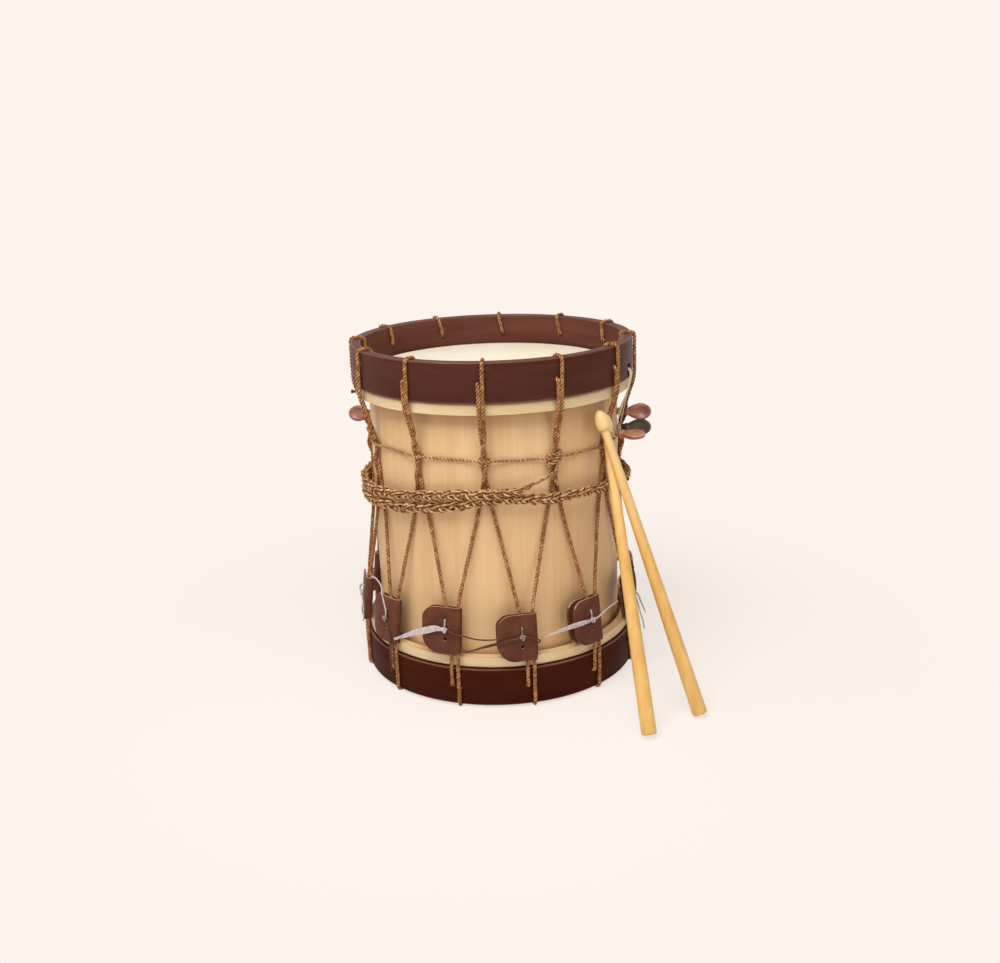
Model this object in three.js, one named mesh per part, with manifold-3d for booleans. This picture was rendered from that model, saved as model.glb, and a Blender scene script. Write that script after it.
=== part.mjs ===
// Renaissance tabor: a rope tensioned drum with leather tugs, a gut snare on its head and two sticks.
// Millimetres, +Z up. The drum stands on the rope bends under its lower hoop, and the origin is on its
// axis at that level. Azimuth is in degrees: 0 faces -Y, the front, and 90 faces +X, the right hand side.

import * as THREE from 'three';
import { mergeVertices } from 'three/addons/utils/BufferGeometryUtils.js';
import Module from 'manifold-3d';

const wasm = await Module();
wasm.setup();

// Driving dimensions: shell, heads and hoops
const FACETS = 48;
const GAP = 0.3;
const RIM_SPAN = 428;
const HOOP_RADIUS = 178;
const HOOP_WALL = 12.5;
const HOOP_HEIGHT = 48.5;
const SHELL_RADIUS = 158.5;
const SHELL_WALL = 6;
const HEAD_DEPTH = 38;
const SKIN = 1.1;
const LAP_RADIUS = 174.5;
const LAP_HEIGHT = 13.5;
const FLESH_HOOP_WALL = 9.5;
const COLLAR = 3.8;

// Driving dimensions: tension rope
const COURSES = 12;
const COURSE_STEP = 360 / COURSES;
const ROPE = 5;
const ROPE_SIDES = 6;
const ROPE_CLEAR = 0.5;
const ROPE_BEND = 3;
const SOLE_CUT = 0.5;
const TUCK_SHARE = 0.65;
const NOTCH_DEPTH = 1.5;
const NOTCH_WIDTH = 6.4;
const ROPE_HOLE = 6.8;
const HEAD_AZIMUTH = -4.7;
const FOOT_AZIMUTH = 11.3;
const PAIR_HALF = 2.8;
const FOOT_HALF = 4.2;
const SHOULDER_Z = 375;
const TUCK_Z = 318;
const GIRDLE_Z = 309;
const SPLIT_Z = 275;
const HEEL_Z = 224;
const ANKLE_Z = 64;
const HOOP_CLEAR_Z = 54;

// Driving dimensions: tugs and their laces
const TUG_Z = 96.5;
const TUG_LIFTS = [-4, 0, 0, 2, -3, 1, 4, -2, 0, -2, -2, 4];
const TUG_HEIGHT = 58;
const TUG_WIDTH = 50;
const LEATHER = 2.4;
const POCKET_HALF = 2.9;
const POCKET_LEFT = -16;
const FLAP_HALF_GAP = 4;
const TUG_UPPER_ROUND = 16;
const TUG_LOWER_ROUND = 22;
const FOLD_CUT_WIDTH = 3;
const FOLD_CUT_HEIGHT = 14;
const STRAND_MOUTH = { shift: -11.5, above: 3 };
const STRAND_MEET = { shift: -5.6, below: 13 };
const LACE_HOLE = 4.6;
const LACE_LINE = -10.4;
const LACE_MID = 1.5;
const LACE_HALF = 12.2;
const LACE = 1.6;
const LACE_KNOT = [3.4, 3.2, 2.3];
const BROAD_TAIL = {
  route: [[-11, 0, 2.6], [-25, -1, 3.6], [-45, -5, 4.4], [-60, -8, 3.4], [-69, -10, 2]],
  widths: [2.4, 4.6, 6.4, 5, 1.2],
};
const HANGING_TAIL = {
  route: [[-11, -1, 2.6], [-13, -13, 3.8], [-13, -28, 3.6], [-12, -44, 1.8], [-11, -59, 0]],
  widths: [2.4, 3.6, 4.6, 4, 1.2],
};
const HANGING_LACES = [2, 10];
const THIN_TAIL = {
  route: [[-12, 0, 2.6], [4, -1, 3.2], [18, -3, 1.5], [32, -5, -3.5], [44, -6, -8.5]],
  widths: [2, 1.8, 1.8, 1.8, 1],
};

// Driving dimensions: waist belt and girdle
const BELT = 12.5;
const BELT_TAIL = 4;
const BELT_RADIUS = 170.6;
const BELT_STEPS = 60;
const BELT_SWELL = { from: 3, to: 7 };
const GIRDLE = 3.8;
const GIRDLE_TILT = 4;
const GIRDLE_LOW_AZIMUTH = 110;
const GIRDLE_PAIR_REACH = 2;
const GIRDLE_KNOT_REACH = 1.7;
const KNOT = 9;
const KNOT_AZIMUTH = HEAD_AZIMUTH + COURSE_STEP;

// Driving dimensions: snare
const SNARE_AZIMUTH = 71;
const GATE_WIDTH = 14;
const GATE_HEIGHT = 15;
const GATE_SILL = 3.5;
const GUT = 1.4;
const GUT_SIDES = 4;
const GUT_SPACING = 4;
const NAIL_HITCHES = [174, 181];
const LEFT_WRAP = 169;
const RIGHT_WRAP = 163;
const PEG_SHAFT = 8;
const PEG_LENGTH = 56;
const PEG_TIP = 202;
const PEG_PADDLE = [14, 10, 3.8];
const PEGS = {
  snare_peg_right_1: { azimuth: 81, height: 332.5, turn: 8 },
  snare_peg_right_2: { azimuth: 81.5, height: 311.8, turn: -6 },
  snare_peg_right_3: { azimuth: 67, height: 314, turn: 72 },
  snare_peg_left: { azimuth: -106, height: 323, turn: 15 },
};
const NAIL = { azimuth: -103, height: 355, diameter: 3.6, inner: 150, outer: 192 };

// Driving dimensions: sticks
const STICK_LENGTH = 383;
const STICK_BUTT = 18.4;
const STICK_NECK = 9.8;
const BEAD = 17.6;
const BEAD_LENGTH = 24.5;
const STICKS = {
  drum_stick_1: { butt: [236, -218.7], bead: [127.8, -127.8, 346.5] },
  drum_stick_2: { butt: [167.9, -265.6], bead: [133.8, -110.4, 336.8] },
};

// Levels and radii that follow from the driving dimensions
const ROPE_FLAT = (ROPE / 2) * Math.cos(Math.PI / ROPE_SIDES);
const SOLE_Z = ROPE_FLAT - SOLE_CUT;
const RIM_LOW = SOLE_Z + ROPE_FLAT + ROPE_CLEAR - NOTCH_DEPTH;
const RIM_HIGH = RIM_LOW + RIM_SPAN;
const MIDDLE_Z = (RIM_LOW + RIM_HIGH) / 2;
const HOOP_INNER = HOOP_RADIUS - HOOP_WALL;
const HOOP_INNER_FLAT = HOOP_INNER * Math.cos(Math.PI / FACETS);
const ROPE_OUT = HOOP_RADIUS + ROPE_CLEAR + ROPE_FLAT;
const ROPE_IN = HOOP_INNER_FLAT - ROPE_CLEAR - ROPE_FLAT;
const ROPE_WAIST = SHELL_RADIUS + ROPE_CLEAR + ROPE_FLAT;
const HOLE_HIGH = RIM_HIGH - HOOP_HEIGHT / 2;
const HOLE_LOW = RIM_LOW + HOOP_HEIGHT / 2;
const CREST_Z = RIM_HIGH - NOTCH_DEPTH + ROPE_CLEAR + ROPE_FLAT;
const HEAD_Z = RIM_HIGH - HEAD_DEPTH;
const LAP_TOP = RIM_HIGH - HOOP_HEIGHT - GAP;
const GUT_Z = HEAD_Z + GUT / 2 + GAP;
const TUG_FRONT = POCKET_HALF + LEATHER;

const FINISHES = {
  shell: { color: 0xe0b987, roughness: 0.45, metalness: 0 },
  skin: { color: 0xf2e0bd, roughness: 0.6, metalness: 0 },
  ash: { color: 0xd9b98a, roughness: 0.6, metalness: 0 },
  walnut: { color: 0x59352a, roughness: 0.4, metalness: 0 },
  hemp: { color: 0x9a7148, roughness: 0.9, metalness: 0 },
  leather: { color: 0x6d4638, roughness: 0.6, metalness: 0 },
  lace: { color: 0xa8938a, roughness: 0.7, metalness: 0 },
  gut: { color: 0xeadcc0, roughness: 0.4, metalness: 0 },
  rosewood: { color: 0x8a5a44, roughness: 0.35, metalness: 0 },
  iron: { color: 0x2e2b2a, roughness: 0.5, metalness: 0.8 },
  beech: { color: 0xe5b766, roughness: 0.4, metalness: 0 },
};

const drum = new THREE.Group();

// Places a finished sub-part in the assembly
function addPart(name, geometry, finish, matrix) {
  const mesh = new THREE.Mesh(geometry, new THREE.MeshStandardMaterial(FINISHES[finish]));
  mesh.name = name;
  if (matrix) matrix.decompose(mesh.position, mesh.quaternion, mesh.scale);
  drum.add(mesh);
}

const radians = THREE.MathUtils.degToRad;
const upward = new THREE.Vector3(0, 0, 1);

function outwardAt(azimuth) {
  return new THREE.Vector3(Math.sin(radians(azimuth)), -Math.cos(radians(azimuth)), 0);
}

function rightwardAt(azimuth) {
  return new THREE.Vector3(Math.cos(radians(azimuth)), Math.sin(radians(azimuth)), 0);
}

// A point by azimuth, radius, sideways shift to the right and height
function place(azimuth, radius, shift, height) {
  const point = outwardAt(azimuth).multiplyScalar(radius);
  point.addScaledVector(rightwardAt(azimuth), shift);
  point.z = height;
  return point;
}

function tangential(point) {
  return new THREE.Vector3(-point.y, point.x, 0).normalize();
}

// Closed solids for cuts and joins, and back to drawable geometry
function toSolid(geometry) {
  const bare = geometry.clone();
  bare.deleteAttribute('normal');
  bare.deleteAttribute('uv');
  const merged = mergeVertices(bare);
  const vertProperties = new Float32Array(merged.attributes.position.array);
  const triVerts = new Uint32Array(merged.index.array);
  return new wasm.Manifold(new wasm.Mesh({ numProp: 3, vertProperties, triVerts }));
}

function toGeometry(solid) {
  const mesh = solid.getMesh();
  const geometry = new THREE.BufferGeometry();
  geometry.setAttribute('position', new THREE.BufferAttribute(new Float32Array(mesh.vertProperties), 3));
  geometry.setIndex(new THREE.BufferAttribute(new Uint32Array(mesh.triVerts), 1));
  return geometry;
}

// A revolved ring or disc about +Z from a profile of [radius, height] pairs
function revolve(profile, facets = FACETS) {
  const points = profile.map(([radius, height]) => new THREE.Vector2(radius, height));
  return new THREE.LatheGeometry(points, facets).rotateX(Math.PI / 2);
}

function ringProfile(inner, outer, low, high) {
  return [[inner, low], [outer, low], [outer, high], [inner, high], [inner, low]];
}

function mirrored(profile) {
  return profile.map(([radius, height]) => [radius, 2 * MIDDLE_Z - height]).reverse();
}

// A tube or strap along points: halves gives its half width along the side vector and half depth across it
function sweep(points, sideAt, sides, halvesAt) {
  const positions = [];
  const indices = [];
  points.forEach((point, i) => {
    const before = points[Math.max(i - 1, 0)];
    const after = points[Math.min(i + 1, points.length - 1)];
    const along = new THREE.Vector3();
    if (i > 0) along.add(point.clone().sub(before).normalize());
    if (i < points.length - 1) along.add(after.clone().sub(point).normalize());
    along.normalize();
    const side = sideAt(point, i).clone();
    side.addScaledVector(along, -side.dot(along)).normalize();
    const across = along.clone().cross(side);
    const [halfWidth, halfDepth] = halvesAt(i);
    for (let j = 0; j < sides; j += 1) {
      const angle = (2 * Math.PI * j) / sides;
      const corner = point.clone();
      corner.addScaledVector(side, halfWidth * Math.cos(angle));
      corner.addScaledVector(across, halfDepth * Math.sin(angle));
      positions.push(corner.x, corner.y, corner.z);
    }
  });
  for (let i = 0; i < points.length - 1; i += 1) {
    for (let j = 0; j < sides; j += 1) {
      const a = i * sides + j;
      const b = i * sides + ((j + 1) % sides);
      indices.push(a, b, a + sides, b, b + sides, a + sides);
    }
  }
  const last = (points.length - 1) * sides;
  for (let j = 1; j < sides - 1; j += 1) {
    indices.push(0, j + 1, j, last, last + j, last + j + 1);
  }
  const geometry = new THREE.BufferGeometry();
  geometry.setAttribute('position', new THREE.Float32BufferAttribute(positions, 3));
  geometry.setIndex(indices);
  return geometry;
}

function roundTube(points, sideAt, sides, diameter) {
  return sweep(points, sideAt, sides, () => [diameter / 2, diameter / 2]);
}

// Replaces each marked corner of a route by an arc of three points, or of two where it is out of sight
function roundCorners(route, radius) {
  return route.flatMap(({ at, corner }, i) => {
    if (!corner) return [at];
    const back = route[i - 1].at.clone().sub(at).normalize();
    const ahead = route[i + 1].at.clone().sub(at).normalize();
    const half = back.angleTo(ahead) / 2;
    const reach = (corner === 'hidden' ? TUCK_SHARE * radius : radius) / Math.tan(half);
    const start = at.clone().addScaledVector(back, reach);
    const end = at.clone().addScaledVector(ahead, reach);
    if (corner === 'hidden') return [start, end];
    const bisector = back.clone().add(ahead).normalize();
    const middle = at.clone().addScaledVector(bisector, radius / Math.sin(half) - radius);
    return [start, middle, end];
  });
}

// Shell, a bent wooden cylinder bored for the pegs and the nail
function boreAt(azimuth, height, diameter, sides) {
  const bore = new THREE.CylinderGeometry(diameter / 2, diameter / 2, 6 * SHELL_WALL, sides);
  const middle = place(azimuth, SHELL_RADIUS - SHELL_WALL / 2, 0, height);
  const frame = new THREE.Matrix4();
  frame.makeBasis(rightwardAt(azimuth), outwardAt(azimuth), upward.clone().negate());
  return bore.applyMatrix4(frame.setPosition(middle));
}

function buildShell() {
  const low = 2 * MIDDLE_Z - (HEAD_Z - SKIN - GAP);
  const high = HEAD_Z - SKIN - GAP;
  let solid = toSolid(revolve(ringProfile(SHELL_RADIUS - SHELL_WALL, SHELL_RADIUS, low, high)));
  Object.values(PEGS).forEach(({ azimuth, height }) => {
    solid = solid.subtract(toSolid(boreAt(azimuth, height, PEG_SHAFT + 2 * ROPE_CLEAR, 10)));
  });
  solid = solid.subtract(toSolid(boreAt(NAIL.azimuth, NAIL.height, NAIL.diameter + 4 * GAP, 8)));
  addPart('shell', toGeometry(solid), 'shell');
}

// Heads: a skin over the shell's edge, down its side, over the flesh hoop and down the hoop's face
function buildHeads() {
  const lapLow = LAP_TOP - LAP_HEIGHT;
  const shellClear = SHELL_RADIUS + GAP;
  const collar = shellClear + COLLAR;
  const skin = [
    [0, HEAD_Z - SKIN],
    [shellClear, HEAD_Z - SKIN],
    [collar, LAP_TOP - SKIN],
    [LAP_RADIUS - SKIN, LAP_TOP - SKIN],
    [LAP_RADIUS - SKIN, lapLow],
    [LAP_RADIUS, lapLow],
    [LAP_RADIUS, LAP_TOP],
    [collar + SKIN, LAP_TOP],
    [shellClear + SKIN, HEAD_Z - SKIN / 2],
    [SHELL_RADIUS, HEAD_Z],
    [0, HEAD_Z],
  ];
  addPart('batter_head', revolve(skin), 'skin');
  addPart('lower_head', revolve(mirrored(skin)), 'skin');

  const outer = LAP_RADIUS - SKIN - GAP;
  const flesh = ringProfile(outer - FLESH_HOOP_WALL, outer, lapLow, LAP_TOP - SKIN - GAP);
  addPart('upper_flesh_hoop', revolve(flesh), 'ash');
  addPart('lower_flesh_hoop', revolve(mirrored(flesh)), 'ash');
}

// Counterhoops: bored at mid height and notched at the rim for the rope, with gates for the snare
function radialHole(azimuth, shift, height) {
  const hole = new THREE.CylinderGeometry(ROPE_HOLE / 2, ROPE_HOLE / 2, 3 * HOOP_WALL, 6);
  const frame = new THREE.Matrix4();
  frame.makeBasis(rightwardAt(azimuth), outwardAt(azimuth), upward.clone().negate());
  return hole.applyMatrix4(frame.setPosition(place(azimuth, HOOP_RADIUS - HOOP_WALL / 2, shift, height)));
}

function radialSlot(azimuth, shift, width, low, high) {
  const slot = new THREE.BoxGeometry(width, 3 * HOOP_WALL, high - low);
  const frame = new THREE.Matrix4();
  frame.makeBasis(rightwardAt(azimuth), outwardAt(azimuth).negate(), upward);
  const middle = place(azimuth, HOOP_RADIUS - HOOP_WALL / 2, shift, (low + high) / 2);
  return slot.applyMatrix4(frame.setPosition(middle));
}

function buildCounterhoop(name, low, cutters) {
  let solid = toSolid(revolve(ringProfile(HOOP_INNER, HOOP_RADIUS, low, low + HOOP_HEIGHT)));
  cutters.forEach((cutter) => {
    solid = solid.subtract(toSolid(cutter));
  });
  addPart(name, toGeometry(solid), 'walnut');
}

function buildCounterhoops() {
  const upperCuts = [];
  const lowerCuts = [];
  for (let k = 0; k < COURSES; k += 1) {
    const head = HEAD_AZIMUTH + k * COURSE_STEP;
    const foot = FOOT_AZIMUTH + k * COURSE_STEP;
    upperCuts.push(radialHole(head, -PAIR_HALF, HOLE_HIGH));
    upperCuts.push(radialSlot(head, PAIR_HALF, NOTCH_WIDTH, RIM_HIGH - NOTCH_DEPTH, RIM_HIGH + HOOP_WALL));
    lowerCuts.push(radialHole(foot, -FOOT_HALF, HOLE_LOW));
    lowerCuts.push(radialSlot(foot, FOOT_HALF, NOTCH_WIDTH, RIM_LOW - HOOP_WALL, RIM_LOW + NOTCH_DEPTH));
  }
  const sill = RIM_HIGH - HOOP_HEIGHT + GATE_SILL;
  [SNARE_AZIMUTH, SNARE_AZIMUTH - 180].forEach((azimuth) => {
    upperCuts.push(radialSlot(azimuth, 0, GATE_WIDTH, sill, sill + GATE_HEIGHT));
  });
  buildCounterhoop('upper_counterhoop', RIM_HIGH - HOOP_HEIGHT, upperCuts);
  buildCounterhoop('lower_counterhoop', RIM_LOW, lowerCuts);
}

// The rope leaves the shell below the belt and slopes out to the lower hoop: tugs slide along that line
const ROPE_RUN = new THREE.Vector2(ROPE_WAIST - ROPE_OUT, HEEL_Z - ANKLE_Z).normalize();

function tugFrame(k) {
  const azimuth = FOOT_AZIMUTH + k * COURSE_STEP;
  const height = TUG_Z + TUG_LIFTS[k];
  const radius = ROPE_OUT + ((height - ANKLE_Z) * ROPE_RUN.x) / ROPE_RUN.y;
  const side = rightwardAt(azimuth);
  const run = outwardAt(azimuth).multiplyScalar(ROPE_RUN.x).addScaledVector(upward, ROPE_RUN.y);
  const frame = new THREE.Matrix4().makeBasis(side, run, side.clone().cross(run));
  return frame.setPosition(place(azimuth, radius, 0, height));
}

// Where a strand that spreads from its split to its tug leaves the shell
function heelPoint(split, entry) {
  const share = (SPLIT_Z - HEEL_Z) / (SPLIT_Z - entry.z);
  const heel = split.clone().lerp(entry, share).setZ(0).setLength(ROPE_WAIST);
  return heel.setZ(HEEL_Z);
}

// One course of rope, from the middle of one hole in the upper hoop to the middle of the next
function ropeRoute(k) {
  const head = HEAD_AZIMUTH + k * COURSE_STEP;
  const next = head + COURSE_STEP;
  const foot = FOOT_AZIMUTH + k * COURSE_STEP;
  const frame = tugFrame(k);
  const inTug = (shift, along) => ({ at: new THREE.Vector3(shift, along, 0).applyMatrix4(frame) });
  const on = (...where) => ({ at: place(...where) });
  const turn = (...where) => ({ at: place(...where), corner: 'shown' });
  const tuck = (...where) => ({ at: place(...where), corner: 'hidden' });
  const holeMiddle = HOOP_RADIUS - HOOP_WALL / 2;
  const reach = TUG_HEIGHT / 2;
  const leaving = on(head, ROPE_WAIST, PAIR_HALF, SPLIT_Z);
  const entering = inTug(STRAND_MOUTH.shift, reach + STRAND_MOUTH.above);
  const returning = inTug(FOOT_HALF, reach + STRAND_MOUTH.above);
  const joining = on(next, ROPE_WAIST, -PAIR_HALF, SPLIT_Z);
  return [
    on(head, holeMiddle - GAP / 2, -PAIR_HALF, HOLE_HIGH),
    tuck(head, ROPE_IN, -PAIR_HALF, HOLE_HIGH),
    turn(head, ROPE_IN, PAIR_HALF, CREST_Z),
    turn(head, ROPE_OUT, PAIR_HALF, CREST_Z),
    on(head, ROPE_OUT, PAIR_HALF, SHOULDER_Z),
    on(head, ROPE_WAIST, PAIR_HALF, TUCK_Z),
    leaving,
    { at: heelPoint(leaving.at, entering.at) },
    entering,
    inTug(STRAND_MEET.shift, reach - STRAND_MEET.below),
    inTug(-FOOT_HALF, -reach),
    on(foot, ROPE_OUT, -FOOT_HALF, HOOP_CLEAR_Z),
    turn(foot, ROPE_OUT, -FOOT_HALF, HOLE_LOW),
    tuck(foot, ROPE_IN, -FOOT_HALF, HOLE_LOW),
    tuck(foot, ROPE_IN, FOOT_HALF, SOLE_Z),
    turn(foot, ROPE_OUT, FOOT_HALF, SOLE_Z),
    on(foot, ROPE_OUT, FOOT_HALF, HOOP_CLEAR_Z),
    inTug(FOOT_HALF, -reach),
    returning,
    { at: heelPoint(joining.at, returning.at) },
    joining,
    on(next, ROPE_WAIST, -PAIR_HALF, TUCK_Z),
    on(next, ROPE_OUT, -PAIR_HALF, SHOULDER_Z),
    turn(next, ROPE_OUT, -PAIR_HALF, HOLE_HIGH),
    on(next, holeMiddle + GAP / 2, -PAIR_HALF, HOLE_HIGH),
  ];
}

function numbered(stem, k) {
  return `${stem}_${String(k + 1).padStart(2, '0')}`;
}

// The bend under the lower hoop is worn flat where the drum stands on it
function buildRope() {
  for (let k = 0; k < COURSES; k += 1) {
    const points = roundCorners(ropeRoute(k), ROPE_BEND);
    const course = toSolid(roundTube(points, tangential, ROPE_SIDES, ROPE));
    addPart(numbered('tension_rope', k), toGeometry(course.trimByPlane([0, 0, 1], 0)), 'hemp');
  }
}

// A tug is a strip of leather folded round both strands, its fold to the right, its free corners rounded
function tugSection() {
  const left = FOOT_HALF + TUG_FRONT - TUG_WIDTH;
  const section = new THREE.Shape();
  section.moveTo(left, FLAP_HALF_GAP);
  section.lineTo(POCKET_LEFT, POCKET_HALF);
  section.absarc(FOOT_HALF, 0, POCKET_HALF, Math.PI / 2, -Math.PI / 2, true);
  section.lineTo(POCKET_LEFT, -POCKET_HALF);
  section.lineTo(left, -FLAP_HALF_GAP);
  section.lineTo(left, -FLAP_HALF_GAP - LEATHER);
  section.lineTo(POCKET_LEFT, -TUG_FRONT);
  section.absarc(FOOT_HALF, 0, TUG_FRONT, -Math.PI / 2, Math.PI / 2, false);
  section.lineTo(POCKET_LEFT, TUG_FRONT);
  section.lineTo(left, FLAP_HALF_GAP + LEATHER);
  section.closePath();
  return section;
}

function tugOutline() {
  const right = FOOT_HALF + TUG_FRONT + GAP;
  const left = FOOT_HALF + TUG_FRONT - TUG_WIDTH;
  const half = TUG_HEIGHT / 2;
  const upper = TUG_UPPER_ROUND;
  const lower = TUG_LOWER_ROUND;
  const outline = new THREE.Shape();
  outline.moveTo(right - FOLD_CUT_WIDTH, -half);
  outline.lineTo(right, -half + FOLD_CUT_HEIGHT);
  outline.lineTo(right, half);
  outline.absarc(left + upper, half - upper, upper, Math.PI / 2, Math.PI, false);
  outline.absarc(left + lower, -half + lower, lower, Math.PI, 1.5 * Math.PI, false);
  outline.closePath();
  return outline;
}

function buildTugGeometry() {
  const tall = 1.2 * TUG_HEIGHT;
  const deep = 8 * TUG_FRONT;
  const plain = { bevelEnabled: false, curveSegments: 2 };
  const strip = new THREE.ExtrudeGeometry(tugSection(), { depth: tall, ...plain });
  strip.translate(0, 0, -tall / 2).rotateX(-Math.PI / 2);
  const blank = new THREE.ExtrudeGeometry(tugOutline(), { depth: deep, ...plain });
  blank.translate(0, 0, -deep / 2);
  let solid = toSolid(strip).intersect(toSolid(blank));
  [-LACE_HALF, LACE_HALF].forEach((offset) => {
    const hole = new THREE.CylinderGeometry(LACE_HOLE / 2, LACE_HOLE / 2, deep, 6).rotateX(Math.PI / 2);
    solid = solid.subtract(toSolid(hole.translate(LACE_LINE, LACE_MID + offset, 0)));
  });
  return toGeometry(solid);
}

// A lace goes through both flaps of its tug, is knotted in front and leaves a broad and a thin tail
const acrossTug = new THREE.Vector3(1, 0, 0);
const alongTug = new THREE.Vector3(0, 1, 0);

function laceLoop() {
  const outer = LACE_HALF + LACE / 2;
  const inner = LACE_HALF - LACE / 2;
  const near = TUG_FRONT + GAP;
  const far = near + LACE;
  const loop = new THREE.Shape();
  loop.moveTo(-far, -outer).lineTo(far, -outer).lineTo(far, outer).lineTo(-far, outer).closePath();
  const middle = new THREE.Path();
  middle.moveTo(-near, -inner).lineTo(-near, inner).lineTo(near, inner).lineTo(near, -inner).closePath();
  loop.holes.push(middle);
  const frame = new THREE.ExtrudeGeometry(loop, { depth: LACE, bevelEnabled: false });
  return frame.translate(0, 0, -LACE / 2).rotateY(-Math.PI / 2).translate(LACE_LINE, LACE_MID, 0);
}

function laceTail({ route, widths }, edge) {
  const base = new THREE.Vector3(0, LACE_MID, TUG_FRONT);
  const points = route.map((offset) => new THREE.Vector3(...offset).add(base));
  return sweep(points, () => edge, 4, (i) => [widths[i] / 2, LACE / 2]);
}

function buildLaceGeometry(broadTail) {
  const knot = new THREE.SphereGeometry(1, 6, 4).scale(...LACE_KNOT);
  knot.translate(LACE_LINE, LACE_MID, TUG_FRONT + GAP + LACE_KNOT[2]);
  const thinTail = laceTail(THIN_TAIL, alongTug);
  return toGeometry(wasm.Manifold.union([laceLoop(), knot, broadTail, thinTail].map(toSolid)));
}

function buildTugs() {
  const tug = buildTugGeometry();
  const spread = buildLaceGeometry(laceTail(BROAD_TAIL, alongTug));
  const hanging = buildLaceGeometry(laceTail(HANGING_TAIL, acrossTug));
  for (let k = 0; k < COURSES; k += 1) {
    const lace = HANGING_LACES.includes(k) ? hanging : spread;
    addPart(numbered('tug', k), tug.clone(), 'leather', tugFrame(k));
    addPart(numbered('tug_lace', k), lace.clone(), 'lace', tugFrame(k));
  }
}

// The waist belt winds once and a half round all the strands, from its knot at the girdle to the back
const BELT_ROUTE = [
  [KNOT_AZIMUTH, 303.4],
  [KNOT_AZIMUTH - 1, 294.5],
  [19.7, 288.2],
  [13.4, 282.6],
  [8.8, 279],
  [1.4, 277.4],
  [-7.8, 276],
  [-17.4, 272.4],
  [-39.3, 264.5],
  [-52, 260],
  [-73, 255.5],
  [-110, 253],
  [-180, 252],
  [-250, 255],
  [-307, 260.5],
  [-326, 261],
  [-340, 261.6],
  [-353, 266],
  [-359, 266.8],
  [-368, 264],
  [-375, 258.5],
  [-391, 250.5],
  [-408, 244],
  [-428, 239.6],
  [-500, 236],
];

function beltPoints() {
  const ends = BELT_ROUTE.map(([azimuth, height]) => new THREE.Vector3(azimuth, height, 0));
  const curve = new THREE.CatmullRomCurve3(ends, false, 'centripetal');
  return Array.from({ length: BELT_STEPS + 1 }, (_, i) => {
    const { x, y } = curve.getPointAt(i / BELT_STEPS);
    return place(x, BELT_RADIUS, 0, y);
  });
}

function leastGap(points, diameter) {
  const skip = Math.round(points.length / 6);
  let least = Infinity;
  points.forEach((a, i) => {
    points.slice(i + skip).forEach((b) => {
      least = Math.min(least, a.distanceTo(b) - diameter);
    });
  });
  return least;
}

function buildBelt() {
  const points = beltPoints();
  const halves = points.map((_, i) => {
    const share = THREE.MathUtils.smoothstep(i, BELT_SWELL.from, BELT_SWELL.to);
    const half = THREE.MathUtils.lerp(BELT_TAIL, BELT, share) / 2;
    return [half, half];
  });
  const tube = sweep(points, () => upward, ROPE_SIDES, (i) => halves[i]);
  console.log(`waist_belt least gap to itself ${leastGap(points, BELT).toFixed(2)} mm`);
  addPart('waist_belt', tube, 'hemp');
}

// The girdle is a thin cord laid over every pair of strands and drawn in to the shell between them
function girdleLevel(azimuth) {
  return GIRDLE_Z - GIRDLE_TILT * Math.cos(radians(azimuth - GIRDLE_LOW_AZIMUTH));
}

function buildGirdle() {
  const overPair = ROPE_WAIST + ROPE_FLAT + ROPE_CLEAR;
  const lay = (pair, shift) => place(pair + shift, overPair + GIRDLE / 2, 0, girdleLevel(pair));
  const points = [lay(KNOT_AZIMUTH, GIRDLE_KNOT_REACH)];
  for (let k = 1; k <= COURSES; k += 1) {
    const pair = KNOT_AZIMUTH + k * COURSE_STEP;
    const between = pair - COURSE_STEP / 2;
    points.push(place(between, SHELL_RADIUS + ROPE_CLEAR + GIRDLE / 2, 0, girdleLevel(between)));
    if (k < COURSES) points.push(lay(pair, -GIRDLE_PAIR_REACH), lay(pair, GIRDLE_PAIR_REACH));
  }
  points.push(lay(KNOT_AZIMUTH, -GIRDLE_KNOT_REACH));
  addPart('girdle_cord', roundTube(points, () => upward, ROPE_SIDES, GIRDLE), 'hemp');

  const knot = new THREE.SphereGeometry(KNOT / 2, 9, 6);
  const middle = place(KNOT_AZIMUTH, overPair + KNOT / 2, 0, girdleLevel(KNOT_AZIMUTH));
  addPart('girdle_knot', knot.translate(middle.x, middle.y, middle.z), 'hemp');
}

// A friction peg: tapered shaft, collar and a flat oval thumb piece with dished faces, along local +Y
function buildPegGeometry() {
  const [length, width, thickness] = PEG_PADDLE;
  const root = PEG_TIP - PEG_LENGTH;
  const collarAt = PEG_TIP - 2 * length - 1 - root;
  const shaft = new THREE.LatheGeometry(
    [
      [0, 0],
      [0.42 * PEG_SHAFT, 0],
      [0.5 * PEG_SHAFT, collarAt - 4],
      [0.66 * PEG_SHAFT, collarAt - 2],
      [0.66 * PEG_SHAFT, collarAt],
      [0.42 * PEG_SHAFT, collarAt + 3],
      [0.3 * PEG_SHAFT, collarAt + 8],
      [0, collarAt + 8],
    ].map(([radius, height]) => new THREE.Vector2(radius, height)),
    8,
  );
  const middle = PEG_TIP - length - root;
  const paddle = new THREE.SphereGeometry(1, 10, 6).scale(width, length, thickness).translate(0, middle, 0);
  let solid = toSolid(shaft).add(toSolid(paddle));
  [-1, 1].forEach((face) => {
    const dish = new THREE.SphereGeometry(1, 8, 4).scale(0.72 * width, 0.66 * length, 0.55 * thickness);
    solid = solid.subtract(toSolid(dish.translate(0, middle + 2, face * 1.18 * thickness)));
  });
  return toGeometry(solid);
}

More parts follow.
